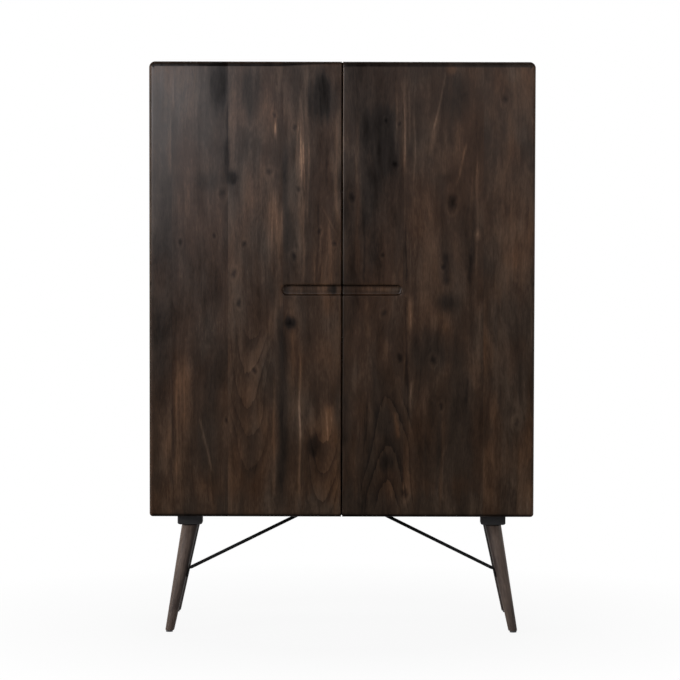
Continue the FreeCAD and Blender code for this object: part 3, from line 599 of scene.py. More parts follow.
# knots: x, height, radius; the grain parts round them and their middles are dark
knotMarks = (
    # left door
    (-419, 1023, 5), (-254, 1019, 5), (-280, 942, 7), (-125, 987, 6), (-60, 1052, 5), (-20, 1020, 5),
    (-332, 1040, 4), (-310, 1150, 8), (-122, 1320, 5), (-113, 1161, 5), (-176, 1352, 4), (-268, 865, 6),
    (-227, 690, 5), (-133, 812, 12), (-190, 1205, 6), (-300, 560, 4),
    # right door
    (25, 1141, 7), (110, 840, 6), (151, 723, 6), (238, 717, 7), (259, 597, 5), (455, 557, 7),
    (163, 370, 8), (137, 1226, 6), (113, 1338, 4), (105, 990, 4), (285, 1126, 11), (148, 1330, 4),
    (420, 1395, 6), (262, 960, 5),
)
# pointed figures where the saw met the rings at a slant: middle x, height of the main tip, lower
# and upper end, which way they open (1 upwards), breadth, half width, strength, tip to tip
pointedMarks = (
    (-239, 600, 410, 800, 1, 16, 52, 0.15, 86),
    (-50, 430, 318, 545, 1, 14, 42, 0.17, 78),
    (119, 624, 325, 634, -1, 17, 68, 0.24, 118),
)
# flecks of bare grain: x, height, half width, half height, how much lighter. The last two lie in the pull and
# are painted light and shade there: lighter towards its right end and darker at its left end.
fleckMarks = (
    (-174, 1316, 4, 20, 0.55), (161, 1300, 2, 40, 0.2), (350, 1043, 8, 9, 0.15), (-109, 560, 2, 60, 0.1),
    (104, 900, 34, 6, 0.12), (-132, 899, 9, 9, -0.12),
)


# what all marks of a kind share
markShape = {
    "sway": 1.6,  # mm that a streak sways to the side,
    "swayLength": 31,  # and over how much height, in mm for each radian
    "fade": 0.22,  # share of its length over which a streak fades at either end
    "coarseRagged": (0.20, 5.5),  # how ragged a blotch's edge is, and the mm for each radian of it
    "fineRagged": (0.16, 2.7),
    "firmness": 1.6,  # power that firms up a blotch's edge
    "knotTallness": 1.5,
    "knotWaves": ((0.16, 2), (0.10, 5)),  # waves of a knot's outline: size, how many round it
    "knotHeart": (-0.32, 0.8),  # tone and reach of its middle, in radii
    "knotRing": (0.06, 1.8, 0.5),  # tone, place and half width of its pale ring, in radii
    "parting": 0.75,  # how far a knot parts the grain, and its reach across and along in radii
    "partingReach": (2.2, 4.5),
    "pointedSway": (5, 45),  # mm that pointed figures sway, and the mm of height for each radian
    "pointedFade": 60,
}


# 0 outside low to high, and eased up to 1 over "soft" from either end by 3 t ^ 2 - 2 t ^ 3
def softWindow(value, low, high, soft):
    rise = np.clip((value - low) / soft, 0, 1)
    fall = np.clip((high - value) / soft, 0, 1)
    return rise * rise * (3 - 2 * rise) * fall * fall * (3 - 2 * fall)


# slow waves that make the growth lines wander: size, length along and across, start
grainWaves = ((5, 120, 90, 1.3), (1.6, 47, -38, 0.4), (0.5, 17, 23, 0))


# where a point lies in the grain: across the growth lines, in from the front, along the board.
# The lines wander by a sum of sines, and a knot pushes them apart by a bell of its radius.
def grainOfDoor(points):
    x, y, z = points.T
    across = x
    for size, along, aside, start in grainWaves:
        across = across + size * np.sin(z / along + x / aside + start)
    reachX, reachZ = markShape["partingReach"]
    for knotX, knotZ, radius in knotMarks:
        bell = np.exp(-(((x - knotX) / (reachX * radius)) ** 2) - ((z - knotZ) / (reachZ * radius)) ** 2)
        across = across - markShape["parting"] * (x - knotX) * bell
    return np.stack([across, y - door["front"], z], 1) * mm


# (tone, warmth) of the marks, each its strength times a share that falls off as exp(-distance ^ 2)
# in half widths: streaks are cut to their length, blotches have a ragged edge, and knots are dark
# with a pale ring and an outline that waves with the turn round them
def marksOfDoor(x, z):
    shape = markShape
    tone, warmth = np.zeros((2, len(x)))
    for middle, low, high, width, strength, warm, lean in streakMarks:
        sway = shape["sway"] * np.sin(z / shape["swayLength"] + middle)
        offset = x - middle - lean * (z - (low + high) / 2) - sway
        share = np.exp(-((offset / width) ** 2)) * softWindow(z, low, high, shape["fade"] * (high - low))
        tone += strength * share
        warmth += warm * share
    (coarse, coarseLength), (fine, fineLength) = shape["coarseRagged"], shape["fineRagged"]
    for middle, height, wide, tall, strength, warm in blotchMarks:
        ragged = coarse * np.sin(x / coarseLength + np.sin(x / 17) + z / 60 + middle)
        ragged = ragged + fine * np.sin(x / fineLength - z / 70)
        distance = ((x - middle) / wide) ** 2 + ((z - height) / tall) ** 2 + ragged
        share = np.exp(-(distance.clip(0) ** shape["firmness"]))
        tone += strength * share
        warmth += warm * share
    (heart, heartReach), (ring, ringPlace, ringWidth) = shape["knotHeart"], shape["knotRing"]
    for knotX, knotZ, radius in knotMarks:
        far = np.hypot((x - knotX) / radius, (z - knotZ) / (shape["knotTallness"] * radius))
        turn = np.arctan2(z - knotZ, x - knotX)
        for (size, count), start in zip(shape["knotWaves"], (knotX, knotZ)):
            far = far + size * np.sin(count * turn + start)
        pale = ring * np.exp(-(((far - ringPlace) / ringWidth) ** 2))
        tone += pale + heart * np.exp(-((far / heartReach) ** 2))
    for middle, height, wide, tall, strength in fleckMarks:
        tone += strength * np.exp(-(((x - middle) / wide) ** 2) - ((z - height) / tall) ** 2)
    return tone, warmth


# (rings, ringPlace) of the pointed figures. "ringPlace" counts their rings, which are parabolas:
# (height less distance ^ 2 / breadth) over the spacing.
def ringsOfDoor(x, z):
    sway, swayLength = markShape["pointedSway"]
    rings, ringPlace = np.zeros((2, len(x)))
    for middle, tip, low, high, way, breadth, reach, strength, spacing in pointedMarks:
        share = np.exp(-(((x - middle) / reach) ** 6))
        share = share * softWindow(z, low - 20, high + 20, markShape["pointedFade"])
        bent = x - middle + sway * np.sin(z / swayLength + middle)
        ringPlace = np.where(share > 0.01, (way * (z - tip) - bent * bent / breadth) / spacing, ringPlace)
        rings += strength * share
    return rings, ringPlace


# painted shade and painted light at the edges and in the pull, in mm and steps of tone
edgeLightAndShade = {
    "rightBand": 14.0,  # painted shade: a dark band along the top of the right door, where its roundover turns up out of the light, and one on the left door that thins towards the meeting edge
    "leftBand": 13.5,  # and one on the left door that thins towards the meeting edge
    "leftBandEnd": 4.0,
    "leftBandReach": 160.0,
    "bandFade": 2.5,
    "shadeFrom": 1.0,  # the painted shade starts this far in from the very edge and is at its darkest further in
    "drinkOver": 8.0,
    "rightDark": 0.34,
    "leftDark": 0.55,
    "coolFrom": 150.0,  # the right band turns cool outwards
    "coolReach": 250.0,
    "cool": 0.8,
    # painted shade: a dark band on the roundover along the bottom, which faces down into shade
    "lowBand": 9.0,
    "lowFade": 4.0,
    "lowDark": 0.42,
    "meetingHighlight": 0.27,  # painted highlight: the right door's meeting roundover is made paler in its upper part, and cooler all along
    "meetingWidth": 3.7,
    "meetingFrom": 940.0,
    "meetingReach": 300.0,
    "meetingCool": 0.6,
    "pullFloorLight": 0.06,  # painted light: the pull's floor is made paler above its middle line
    "undercut": 0.18,  # painted shadow: the undercut behind its lip is made darker
    "pullZone": 20.0,  # half height of the band that holds the pull
    "floorFrom": -1.0,  # up from its middle line to where the undercut starts
    "undercutFrom": 11.0,
}


# (tone, warmth) of the painted shade and painted light that the edges and the pull add: ramps over the
# distance in from the outline
def edgesOfDoor(x, y, z):
    lightAndShade = edgeLightAndShade
    tone, warmth = np.zeros((2, len(x)))
    inset = insetFromOutline(np.abs(x), z)
    onFront = y < door["back"] - 4
    thinning = np.clip(-x / lightAndShade["leftBandReach"], 0, 1)
    leftBand = lightAndShade["leftBandEnd"] + (lightAndShade["leftBand"] - lightAndShade["leftBandEnd"]) * thinning
    band = np.where(x > 0, lightAndShade["rightBand"], leftBand)
    # painted shade: a dark band on the roundover along the top, which turns up out of the light, cooler
    # towards the right
    nearTop = onFront & (door["high"] - z < door["outerEdge"] - np.abs(x) + 5) & (z > door["high"] - 20)
    shadeRamp = np.clip((inset - lightAndShade["shadeFrom"]) / lightAndShade["drinkOver"], 0, 1)
    bandShade = np.where(x > 0, lightAndShade["rightDark"], lightAndShade["leftDark"]) * shadeRamp
    tone -= bandShade * nearTop * np.clip((band - inset) / lightAndShade["bandFade"], 0, 1)
    cooling = np.clip((x - lightAndShade["coolFrom"]) / lightAndShade["coolReach"], 0, 1)
    warmth -= lightAndShade["cool"] * nearTop * (inset < band) * cooling
    # painted shade along the bottom roundover
    nearLow = onFront & (z - door["low"] < inset + 0.5)
    tone -= lightAndShade["lowDark"] * nearLow * np.clip((lightAndShade["lowBand"] - inset) / lightAndShade["lowFade"], 0, 1)
    # painted highlight on the right door's meeting roundover, where the key light catches it
    meetingHighlight = (x > 0) & (x < lightAndShade["meetingWidth"])
    highlightShare = np.clip((z - lightAndShade["meetingFrom"]) / lightAndShade["meetingReach"], 0, 1)
    tone += lightAndShade["meetingHighlight"] * onFront * meetingHighlight * highlightShare
    warmth -= lightAndShade["meetingCool"] * meetingHighlight
    up, deep = z - pull["middle"], y - door["front"]
    inPull = (np.abs(up) < lightAndShade["pullZone"]) & (y < door["back"] - 1)
    onFloor = (deep > 3) & (up < lightAndShade["undercutFrom"]) & (up > lightAndShade["floorFrom"])
    # painted light on the pull's upper floor
    tone += lightAndShade["pullFloorLight"] * (inPull & onFloor)
    # painted shadow under the pull's lip
    tone -= lightAndShade["undercut"] * (inPull & (deep > 0.6) & (up > lightAndShade["undercutFrom"]))
    return tone, warmth


# the same patches with left and right swapped: x becomes -x
def mirrorPatches(patches):
    return [(np.asarray(points, float) * np.array([-1.0, 1.0, 1.0]), faces) for points, faces in patches]


rightPatches = doorPatches()
for side, patches in (("right", rightPatches), ("left", mirrorPatches(rightPatches))):
    body = side + "_door"
    leaf = makePiece(side + "DoorLeaf", patches, doorWood, body, [body], sharpAngle=32)
    places = pointsOf(leaf)
    marks, edges = marksOfDoor(*places.T[::2]), edgesOfDoor(*places.T)
    rings, ringPlace = ringsOfDoor(*places.T[::2])
    # the marks of the figure together with the painted light and shade of the edges and the pull
    figureAndLight = np.stack([marks[0] + edges[0], marks[1] + edges[1], rings], 1)
    storeOnPoints(leaf, "grainPlace", grainOfDoor(places))
    storeOnPoints(leaf, "figureAndLight", figureAndLight)
    storeOnPoints(leaf, "ringPlace", ringPlace)
    print(side, "door:", len(leaf.data.polygons), "faces")


base = {
    "blockX": 398.0,
    "blockFrontY": -127.5,
    "blockRearY": 153.5,
    "blockHalf": 32.5,
    "caseBottom": 310.0,
    "legTop": 280.0,
    "legTopRadius": 21.2,
    "legFootRadius": 11.3,
    "splay": 0.188,  # sideways and lengthways travel for each mm of height
    "glideHeight": 4.0,
    "footRound": 2.0,
    "studRadius": 4.0,
    "studLength": 42.0,
    "studRise": 6.0,  # into the block
    "shaftRings": 58,
    "topRings": (5, 4.4, 2.8, 1, 0.3, 0),  # below the top, close together for the dark rim
    "topChamfer": 0.7,
    "legAround": 56,
    "blockAround": 96,
    "blockPower": 16,
    "blockEdge": ((3.2, 0), (2.6, 0.1), (0.6, 2.1), (0.1, 2.7), (0, 3.4), (0, 8.5)),  # (up, inwards)
}
# the legs' own figure, with painted light and shade, in steps of tone or warmth
legFigureAndLight = {
    "wander": 3.0,  # mm that the grain wanders sideways
    "shoulder": 0.08,  # the shoulder took less stain,
    "rim": -0.55,  # painted light: the shoulder is made lighter, and painted shade darkens its rim under the block
    "rimFrom": 276.5,
    "rear": -0.18,  # painted shade: the rear legs are made darker, as if under the case's shadow
    "inner": -0.30,  # painted shade: the upper inner side is made darker
    "rightWarmth": -0.7,
}
legSides = {"front_left": (-1, -1), "front_right": (1, -1), "rear_left": (-1, 1), "rear_right": (1, 1)}


# (x, y) of a mounting block's middle; side is -1 left or 1 right, end is -1 front or 1 rear
def blockMiddle(side, end):
    return np.array([side * base["blockX"], base["blockFrontY"] if end < 0 else base["blockRearY"]])


# radius of a leg at a height: a straight taper
def legRadius(z):
    return base["legFootRadius"] + (base["legTopRadius"] - base["legFootRadius"]) * z / base["legTop"]


# middle line of a leg at a height; side and end are the signs of its lean
def legMiddle(side, end, z):
    x, y = blockMiddle(side, end)
    drop = base["legTop"] - np.asarray(z, float)
    return np.stack([x + side * base["splay"] * drop, y + end * base["splay"] * drop, drop * 0 + z], -1)


# level cuts of a straight taper: ellipses, longer along the lean by the slant of the middle line
def legRings(side, end, heights, radii, around):
    turn = np.linspace(0, 2 * np.pi, around, endpoint=False)[:, None]
    lean = math.hypot(1, 1) * base["splay"]
    long, cross = np.array([side, end]) / math.sqrt(2), np.array([-end, side]) / math.sqrt(2)
    level = np.cos(turn) * long * math.sqrt(1 + lean * lean) + np.sin(turn) * cross
    points = np.repeat(legMiddle(side, end, heights)[:, None, :], around, 1)
    points[..., :2] += level * np.asarray(radii)[:, None, None]
    return points


# rings of points as a tube with both ends closed
def closedTube(points):
    rows, around = points.shape[:2]
    faces = gridQuads(rows, around, closed=True).tolist()
    return points, faces + [list(range(around)), list(range((rows - 1) * around, rows * around))]


for name, (side, end) in legSides.items():
    low, high, edge = base["glideHeight"], base["legTop"], base["footRound"]
    turn = np.linspace(0, np.pi / 2, 5)
    top = high - np.array(base["topRings"])
    shaft = np.linspace(low + edge, top[0], base["shaftRings"])[1:-1]
    heights = np.concatenate([low + edge * (1 - np.cos(turn)), shaft, top])
    radii = legRadius(heights)
    radii[: len(turn)] -= edge * (1 - np.sin(turn))
    radii[-1] -= base["topChamfer"]
    rings = closedTube(legRings(side, end, heights, radii, base["legAround"]))
    leg = makePiece(name + "Leg", [rings], legWood, "case", [name + "_leg"], sharpAngle=50)
    places = pointsOf(leg)
    z, which = places[:, 2], side + 2 * end  # each leg is cut from its own place in the wood
    aside, deep, _ = (places - legMiddle(side, end, z)).T
    bend = legFigureAndLight["wander"] * np.sin(z / 60 + which)
    storeOnPoints(leg, "grainPlace", np.stack([aside + bend, deep, z + 400 * which], 1) * mm)
    # painted light on the shoulder; painted shade on the rear legs, the rim under the block and the upper
    # inner side
    tone = legFigureAndLight["shoulder"] * np.clip((z - 60) / 200, 0, 1) + legFigureAndLight["rear"] * (end > 0)
    tone += legFigureAndLight["rim"] * (z > legFigureAndLight["rimFrom"])
    inward = -side * aside / np.interp(z, heights, radii)
    tone += legFigureAndLight["inner"] * np.clip((inward - 0.35) / 0.4, 0, 1) * np.clip((z - 60) / 120, 0, 1)
    warmth = np.full(len(z), legFigureAndLight["rightWarmth"] * (side > 0))
    storeOnPoints(leg, "figureAndLight", np.stack([tone, warmth, 0 * tone], 1))


# how far a superellipse reaches at a turn: (|cos| ^ power + |sin| ^ power) ^ (-1 / power)
def roundedReach(turn, power):
    return (np.abs(np.cos(turn)) ** power + np.abs(np.sin(turn)) ** power) ** (-1 / power)


# rounded square at each (height, half width): a superellipse of a high power
def blockRings(side, end, steps):
    around = base["blockAround"]
    turn = np.linspace(0, 2 * np.pi, around, endpoint=False) + np.pi / around
    outline = np.stack([np.cos(turn), np.sin(turn)], -1) * roundedReach(turn, base["blockPower"])[:, None]
    heights, halves = np.array(steps, float).T
    level = blockMiddle(side, end) + halves[:, None, None] * outline
    return np.concatenate([level, np.broadcast_to(heights[:, None, None], (*level.shape[:2], 1))], -1)


for name, (side, end) in legSides.items():
    half, bottom, top = base["blockHalf"], base["legTop"], base["caseBottom"]
    steps = [(top, half)] + [(bottom + up, half - inwards) for up, inwards in base["blockEdge"]]
    body = closedTube(blockRings(side, end, steps))
    studHeights = np.linspace(bottom + base["studRise"], bottom - base["studLength"], 8)
    stud = closedTube(legRings(side, end, studHeights, np.full(8, base["studRadius"]), 24))
    stands = [name + "_mounting_block"]
    makePiece(name + "MountingBlock", [body, stud], powderCoat, "case", stands, sharpAngle=25)
print("legs and blocks made")


brace = {
    "legHeight": 166.0,
    "caseX": 113.0,
    "radius": 4.4,
    "tabHalfWidth": 7.5,
    "tabHalfThickness": 1.5,
    "tabLength": 26.0,
    "flattening": 9.0,  # length over which the rod is pressed flat
    "seatGap": 0.05,
    "kneeLength": 6.0,
    "screwFromKnee": 15.0,
    "spacing": 1.6,
    "softenings": 3,
    "narrowest": 0.12,  # share of the width that is left at the very end
    "around": 28,
}


# A rod pressed flat at its ends and bent at two knees. Path: down the leg, across, along the
# case. Half sizes run from those of the tab to the rod's radius, and the free ends are half round.
def bracePath(side):
    # on the inner side of a front leg: its middle line less the radius of its slanted cut
    def onLeg(z):
        slant = math.sqrt(1 + base["splay"] ** 2)
        return legMiddle(1, -1, z) - np.array([legRadius(z) * slant + brace["seatGap"], 0, 0])

    seat, lower = onLeg(brace["legHeight"]), onLeg(brace["legHeight"] - brace["tabLength"])
    down = (lower - seat) / np.linalg.norm(lower - seat)
    across = np.cross(down, [-1.0, 0, 0])
    across /= np.linalg.norm(across)
    outward = -np.cross(across, down)
    outward *= -np.sign(outward[0])
    lift, knee = brace["tabHalfThickness"], brace["kneeLength"]
    legKnee = seat + outward * brace["radius"]
    caseKnee = np.array([brace["caseX"], seat[1], base["caseBottom"] - brace["radius"]])
    legEnd = seat + down * brace["tabLength"] + outward * lift
    caseEnd = np.array([brace["caseX"] - brace["tabLength"], seat[1], base["caseBottom"] - lift])
    afterCaseKnee = caseKnee + np.array([-knee, 0, brace["radius"] - lift])
    corners = [legEnd, seat + down * knee + outward * lift, legKnee, caseKnee, afterCaseKnee, caseEnd]
    pieces = []
    for first, last in zip(corners[:-1], corners[1:]):
        count = max(int(np.linalg.norm(last - first) / brace["spacing"]), 2)
        pieces.append(first + (last - first) * np.linspace(0, 1, count, endpoint=False)[:, None])
    path = np.concatenate(pieces + [corners[-1][None]])
    for _ in range(brace["softenings"]):  # soften the knees
        path[1:-1] = (path[:-2] + 2 * path[1:-1] + path[2:]) / 4
    mirror = np.array([side, 1.0, 1.0])
    onLegTab = seat + down * brace["screwFromKnee"] + outward * lift * 2
    onCaseTab = caseKnee + np.array([-brace["screwFromKnee"], 0, brace["radius"] - lift * 2])
    spots = [(onLegTab * mirror, outward * mirror), (onCaseTab * mirror, np.array([0, 0, -1.0]))]
    return path * mirror, spots


# The rod's section along the path: a circle that turns into a flat superellipse of the 4th power
# within the tabs. "pressed" is 0 in a tab and 1 in the rod.
def bracePatches(path):
    step = np.linalg.norm(np.diff(path, axis=0), axis=1)
    travelled = np.concatenate([[0], np.cumsum(step)])
    toEnd = np.minimum(travelled, travelled[-1] - travelled)
    tangent = np.gradient(path, axis=0)
    tangent /= np.linalg.norm(tangent, axis=1)[:, None]
    across = np.array([0, 1.0, 0]) - tangent * tangent[:, 1:2]
    across /= np.linalg.norm(across, axis=1)[:, None]
    thick = np.cross(tangent, across)
    pressed = np.clip((toEnd - brace["tabLength"] + brace["flattening"] / 2) / brace["flattening"], 0, 1)
    pressed = pressed * pressed * (3 - 2 * pressed)
    wide = brace["tabHalfWidth"] + (brace["radius"] - brace["tabHalfWidth"]) * pressed
    deep = brace["tabHalfThickness"] + (brace["radius"] - brace["tabHalfThickness"]) * pressed
    nose = np.clip(toEnd / brace["tabHalfWidth"], 0, 1)
    wide = wide * np.maximum(np.sqrt(1 - (1 - nose) ** 2), brace["narrowest"])
    turn = np.linspace(0, 2 * np.pi, brace["around"], endpoint=False)
    reach = roundedReach(turn, (4 - 2 * pressed)[:, None])
    points = path[:, None] + across[:, None] * (wide[:, None] * np.cos(turn) * reach)[..., None]
    points = points + thick[:, None] * (deep[:, None] * np.sin(turn) * reach)[..., None]
    return [closedTube(points)]


braceSpots = []
for name, side in (("left", -1), ("right", 1)):
    path, spots = bracePath(side)
    braceSpots += spots
    stands = [name + "_brace"]
    makePiece(name + "Brace", bracePatches(path), rodCoat, "case", stands, sharpAngle=50)
print("braces made")


# screw heads: (radius, height of the dome), and where they sit on the right-hand half
screw = {
    "caseLeaf": (2.6, 0.5),
    "doorLeaf": (2.6, 0.35),  # the closed door leaves only 0.5 mm
    "strike": (1.7, 0.15),
    "catch": (2.2, 0.9),
    "braceTab": (3.0, 1.1),
    "block": (2.8, 1.0),
    "around": 12,
    # rings of a head: share of its radius, share of its dome's height (mm below the disc), and
    # whether the cross dips it
    "rings": ((0.9, -0.3, 0), (1, 0, 0), (0.94, 0.6, 0), (0.64, 0.95, 0), (0.54, 0.98, 1), (0.17, 1, 1)),
    "crossDepth": 0.75,  # of the dome
    "hingeHeights": (408, 899, 1390),
    "onLeaf": (-27, 0, 27),  # above and below a hinge's middle, the middle one set aside
    "setAside": 4,
    "caseLeafPlace": (495, -181),
    "doorLeafPlace": (474, -203),
    "doorStrikes": ((46, -203.3, 1460), (70, -203.3, 1460)),
    "shelfStrikes": ((238, 25, 1116.7), (262, 25, 1116.7)),
    "catches": ((43, -195, 1454), (73, -195, 1454), (233, 33.3, 1109), (267, 33.3, 1109)),
    "onBlock": ((-24, -24), (-24, 24), (24, -24), (24, 24)),
}


# A head is a low dome on a disc. Its cross is a dip where the turn is a whole quarter, and
# everywhere near the middle.
def screwHead(place, way, radius, dome):
    turn = np.linspace(0, 2 * np.pi, screw["around"], endpoint=False)
    arm = (np.abs(np.sin(2 * turn)) < 0.1).astype(float)
    way = np.asarray(way, float) / np.linalg.norm(way)
    first = np.cross(way, [0.0, 0, 1] if abs(way[2]) < 0.7 else [1.0, 0, 0])
    first /= np.linalg.norm(first)
    second = np.cross(way, first)
    rings = []
    for share, rise, dips in screw["rings"]:
        dip = screw["crossDepth"] * dips * np.maximum(arm, share < 0.3)
        height = np.where(rise < 0, rise, dome * (rise - dip))
        spread = radius * share * (np.cos(turn)[:, None] * first + np.sin(turn)[:, None] * second)
        rings.append(np.asarray(place, float) + spread + height[:, None] * way)
    return closedTube(np.stack(rings))


steelScrews = {"case": [], "left_door": [], "right_door": [], "fold_out_shelf": []}
for side, body in ((-1, "left_door"), (1, "right_door")):
    for middle in screw["hingeHeights"]:
        for step in screw["onLeaf"]:
            aside = 0 if step else screw["setAside"]
            (caseX, caseY), (doorX, doorY) = screw["caseLeafPlace"], screw["doorLeafPlace"]
            onCase, onDoor = (side * caseX, caseY - aside), (side * (doorX + aside), doorY)
            steelScrews["case"].append(((*onCase, middle + step), (side, 0, 0), *screw["caseLeaf"]))
            steelScrews[body].append(((*onDoor, middle + step), (0, 1, 0), *screw["doorLeaf"]))
    for part, places, way, kind in (
        (body, "doorStrikes", (0, 1, 0), "strike"),
        ("case", "catches", (0, 0, -1), "catch"),
        ("fold_out_shelf", "shelfStrikes", (0, 1, 0), "strike"),
    ):
        steelScrews[part] += [((side * x, y, z), way, *screw[kind]) for x, y, z in screw[places]]
blackScrews = [(place, way, *screw["braceTab"]) for place, way in braceSpots]
for side, end in legSides.values():
    corners = blockMiddle(side, end) + np.array(screw["onBlock"])
    blackScrews += [((x, y, base["legTop"]), (0, 0, -1), *screw["block"]) for x, y in corners]
sets = [(body + "Screws", steel, bronzedSteel, body, "hinge_steel") for body, steel in steelScrews.items()]
sets += [("baseScrews", blackScrews, rodCoat, "case", "black_steel")]
for name, heads, material, body, slotName in sets:
    makePiece(name, [screwHead(*head) for head in heads], material, body, sharpAngle=30)
print("screws made:", sum(len(heads) for _, heads, *_ in sets))


easedEdge = {"width": 0.8, "angle": 35.0, "segments": 2, "weld": 0.01}


# gives a CAD node its material, and a board also a small bevel on its sharp edges
def dress(node, material, eased):
    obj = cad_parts[node]
    obj.data.materials.clear()
    obj.data.materials.append(material)
    if eased:
        weld = obj.modifiers.new("weld", "WELD")
        weld.merge_threshold = easedEdge["weld"] * mm
        bevel = obj.modifiers.new("easedEdge", "BEVEL")
        bevel.width = easedEdge["width"] * mm
        bevel.segments = easedEdge["segments"]
        bevel.limit_method = "ANGLE"
        bevel.angle_limit = math.radians(easedEdge["angle"])


# CAD nodes that keep their own mesh, by what they are made of. Boards have eased edges.
boards = {
    uprightWood: ("left_side", "right_side", "left_rack_cheeks", "right_rack_cheeks"),
    backVeneer: ("back_panel",),
    levelWood: (
        "case_top", "case_bottom", "upper_shelf", "counter_shelf", "lower_shelf", "fold_out_shelf",
        "shelf_stop_blocks", "front_bottle_cradle", "rear_bottle_cradle", "left_rack_floor",
        "right_rack_floor", "left_rack_rails", "right_rack_rails",
    ),
    deepWood: ("left_shelf_bearer", "right_shelf_bearer", *("stem_rail_%d" % (i + 1) for i in range(8))),
}
fittings = {
    bronzedSteel: (
        "door_hinge_case_leaves", "left_hinge_door_leaves", "right_hinge_door_leaves", "left_door_strike",
        "right_door_strike",
    ),
    bronzedLong: ("shelf_hinge_counter_leaf", "shelf_hinge_flap_leaf", "fold_out_shelf_strikes"),
    blackNylon: ("leg_glides",),
    catchPlastic: ("door_catches", "shelf_catches"),
    feltPad: ("left_door_bumpers", "right_door_bumpers"),
}
for group, eased in ((boards, True), (fittings, False)):
    for material, nodes in group.items():
        for node in nodes:
            dress(node, material, eased)
print("frame nodes dressed")


camera = {"x": -6.1, "distance": 9000.0, "height": 1306.0, "pitch": 3.411, "roll": -0.12, "lens": 183.9}
lens = bpy.data.cameras.new("camera")
lens.lens, lens.sensor_width, lens.clip_end = camera["lens"], 36.0, 100.0
viewer = bpy.data.objects.new("camera", lens)
bpy.context.scene.collection.objects.link(viewer)
viewer.location = Vector((camera["x"], door["front"] - camera["distance"], camera["height"])) * mm
viewer.rotation_euler = (math.radians(90 - camera["pitch"]), math.radians(camera["roll"]), 0)
bpy.context.scene.camera = viewer


# Soft lamps, in metres and watts: place, point they are aimed at, width and height, watts, colour.
# The fills light the sides, the back and the top, from where they miss the front. The sheens are
# two strips that only gloss on the lacquer.
lamps = {
    "keyLight": ((-4.0, -2.6, 1.6), (0, -0.2, 0.8), (1.8, 2.0), 190, "#ffffff"),
    "sideLight": ((3.8, -2.4, 1.4), (0, -0.1, 0.7), (1.6, 2.0), 26, "#ffffff"),
    "rightFill": ((4.5, 0.9, 1.5), (0.4, 0, 0.8), (1.8, 1.8), 42, "#ffffff"),
    "leftFill": ((-4.5, 0.9, 1.5), (-0.4, 0, 0.8), (1.8, 1.8), 42, "#ffffff"),
    "backFill": ((0.0, 4.8, 1.6), (0, 0.2, 0.8), (2.0, 1.8), 90, "#ffffff"),
    "topFill": ((0.0, 1.2, 4.0), (0, 0, 1.4), (1.6, 1.6), 40, "#ffffff"),
    "leftSheen": ((-0.87, -1.47, 1.52), (-0.45, -0.23, 1.3), (0.54, 0.50), 96, "#f9f9ff"),
    "rightSheen": ((1.05, -2.2, 1.75), (0.45, -0.23, 1.3), (1.5, 0.8), 44, "#fbf9ff"),
}
for name, (place, target, (width, height), watts, colour) in lamps.items():
    data = bpy.data.lights.new(name, "AREA")
    data.shape, data.size, data.size_y, data.energy = "RECTANGLE", width, height, watts
    data.color = linear(colour)[:3]
    lamp = bpy.data.objects.new(name, data)
    bpy.context.scene.collection.objects.link(lamp)
    lamp.location = place
    lamp.rotation_euler = (Vector(target) - Vector(place)).to_track_quat("-Z", "Y").to_euler()
    lamp.visible_camera = False
    lamp.visible_diffuse = "Sheen" not in name

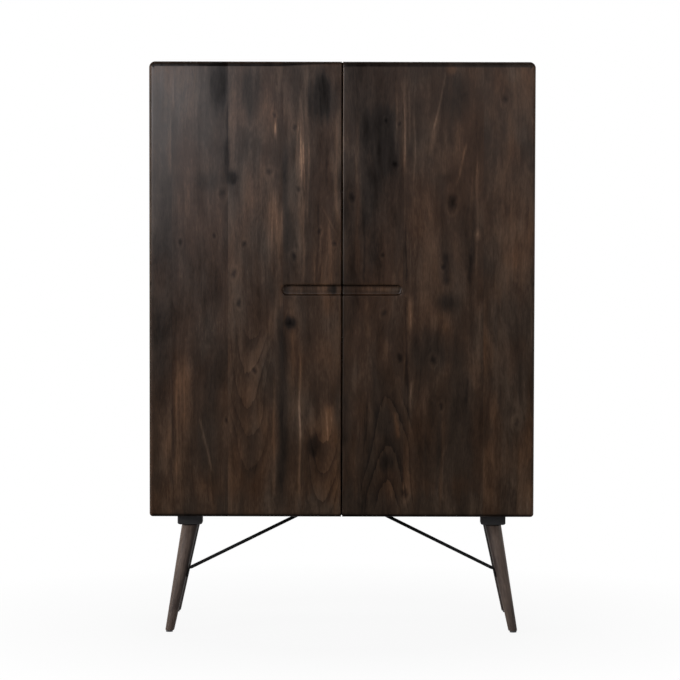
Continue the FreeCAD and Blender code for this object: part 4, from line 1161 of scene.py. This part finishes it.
# the room: white to the camera, white at the sides and dim overhead to gloss and soft light;
# "from" and "overhead" are the upward parts of a direction between which it dims
room = {
    "soft": 0.5, "softOverhead": 0.1, "softFrom": 0.05,
    "gloss": 1.0, "glossOverhead": 0.2, "glossFrom": 0.1,
    "overhead": 0.8,
}
world = bpy.data.worlds.new("studio")
bpy.context.scene.world = world
world.use_nodes = True
sky = world.node_tree
sky.nodes.clear()
seen = addNode(sky, "LightPath").outputs
up = addNode(sky, "SeparateXYZ", {0: addNode(sky, "TexCoord").outputs["Generated"]}).outputs["Z"]
shares = []
for kind in ("soft", "gloss"):
    dims = {1: room[kind + "From"], 2: room["overhead"], 3: room[kind], 4: room[kind + "Overhead"]}
    shares.append(addNode(sky, "MapRange", {0: up, **dims}))
light = addNode(sky, "Mix", {0: seen["Is Glossy Ray"], 2: shares[0], 3: shares[1]}, data_type="FLOAT")
direct = {0: seen["Is Camera Ray"], 1: seen["Is Transmission Ray"]}
straight = addNode(sky, "Math", direct, operation="MAXIMUM")
light = addNode(sky, "Mix", {0: straight, 2: light, 3: 1.0}, data_type="FLOAT")
air = addNode(sky, "Background", {"Color": (1, 1, 1, 1), "Strength": light})
addNode(sky, "OutputWorld", {0: air})

# a white floor that shades a little near the feet and fades to pure white further out, in metres
floorLook = {"half": 30.0, "fadeFrom": 0.5, "fadeTo": 1.3, "shadowShare": 0.08, "paint": "#b8b8b8"}
floorMaterial, floorTree = newMaterial("painted floor, white")
place = addNode(floorTree, "TexCoord").outputs["Object"]
away = addNode(floorTree, "VectorMath", {0: place}, operation="LENGTH").outputs["Value"]
fade = {1: floorLook["fadeFrom"], 2: floorLook["fadeTo"], 3: 1 - floorLook["shadowShare"], 4: 1.0}
white = addNode(floorTree, "MapRange", {0: away, **fade})
seen = addNode(floorTree, "LightPath").outputs
straight = seen["Is Camera Ray"]
for ray in ("Is Glossy Ray", "Is Transmission Ray"):
    straight = addNode(floorTree, "Math", {0: straight, 1: seen[ray]}, operation="MAXIMUM")
share = addNode(floorTree, "Math", {0: white, 1: straight}, operation="MULTIPLY")
paint = addNode(floorTree, "BsdfDiffuse", {"Color": linear(floorLook["paint"])})
glow = addNode(floorTree, "Emission", {"Color": (1, 1, 1, 1), "Strength": 1.0})
floorMix = addNode(floorTree, "MixShader", {0: share, 1: paint, 2: glow})
addNode(floorTree, "OutputMaterial", {0: floorMix})
half = floorLook["half"]
corners = [(x * half, y * half, 0) for x, y in ((-1, -1), (1, -1), (1, 1), (-1, 1))]
floorMesh = bpy.data.meshes.new("floor")
floorMesh.from_pydata(corners, [], [(0, 1, 2, 3)])
floorMesh.materials.append(floorMaterial)
floor = bpy.data.objects.new("floor", floorMesh)
bpy.context.scene.collection.objects.link(floor)

bpy.context.scene.view_settings.view_transform = "Standard"
print("camera, light and floor set")
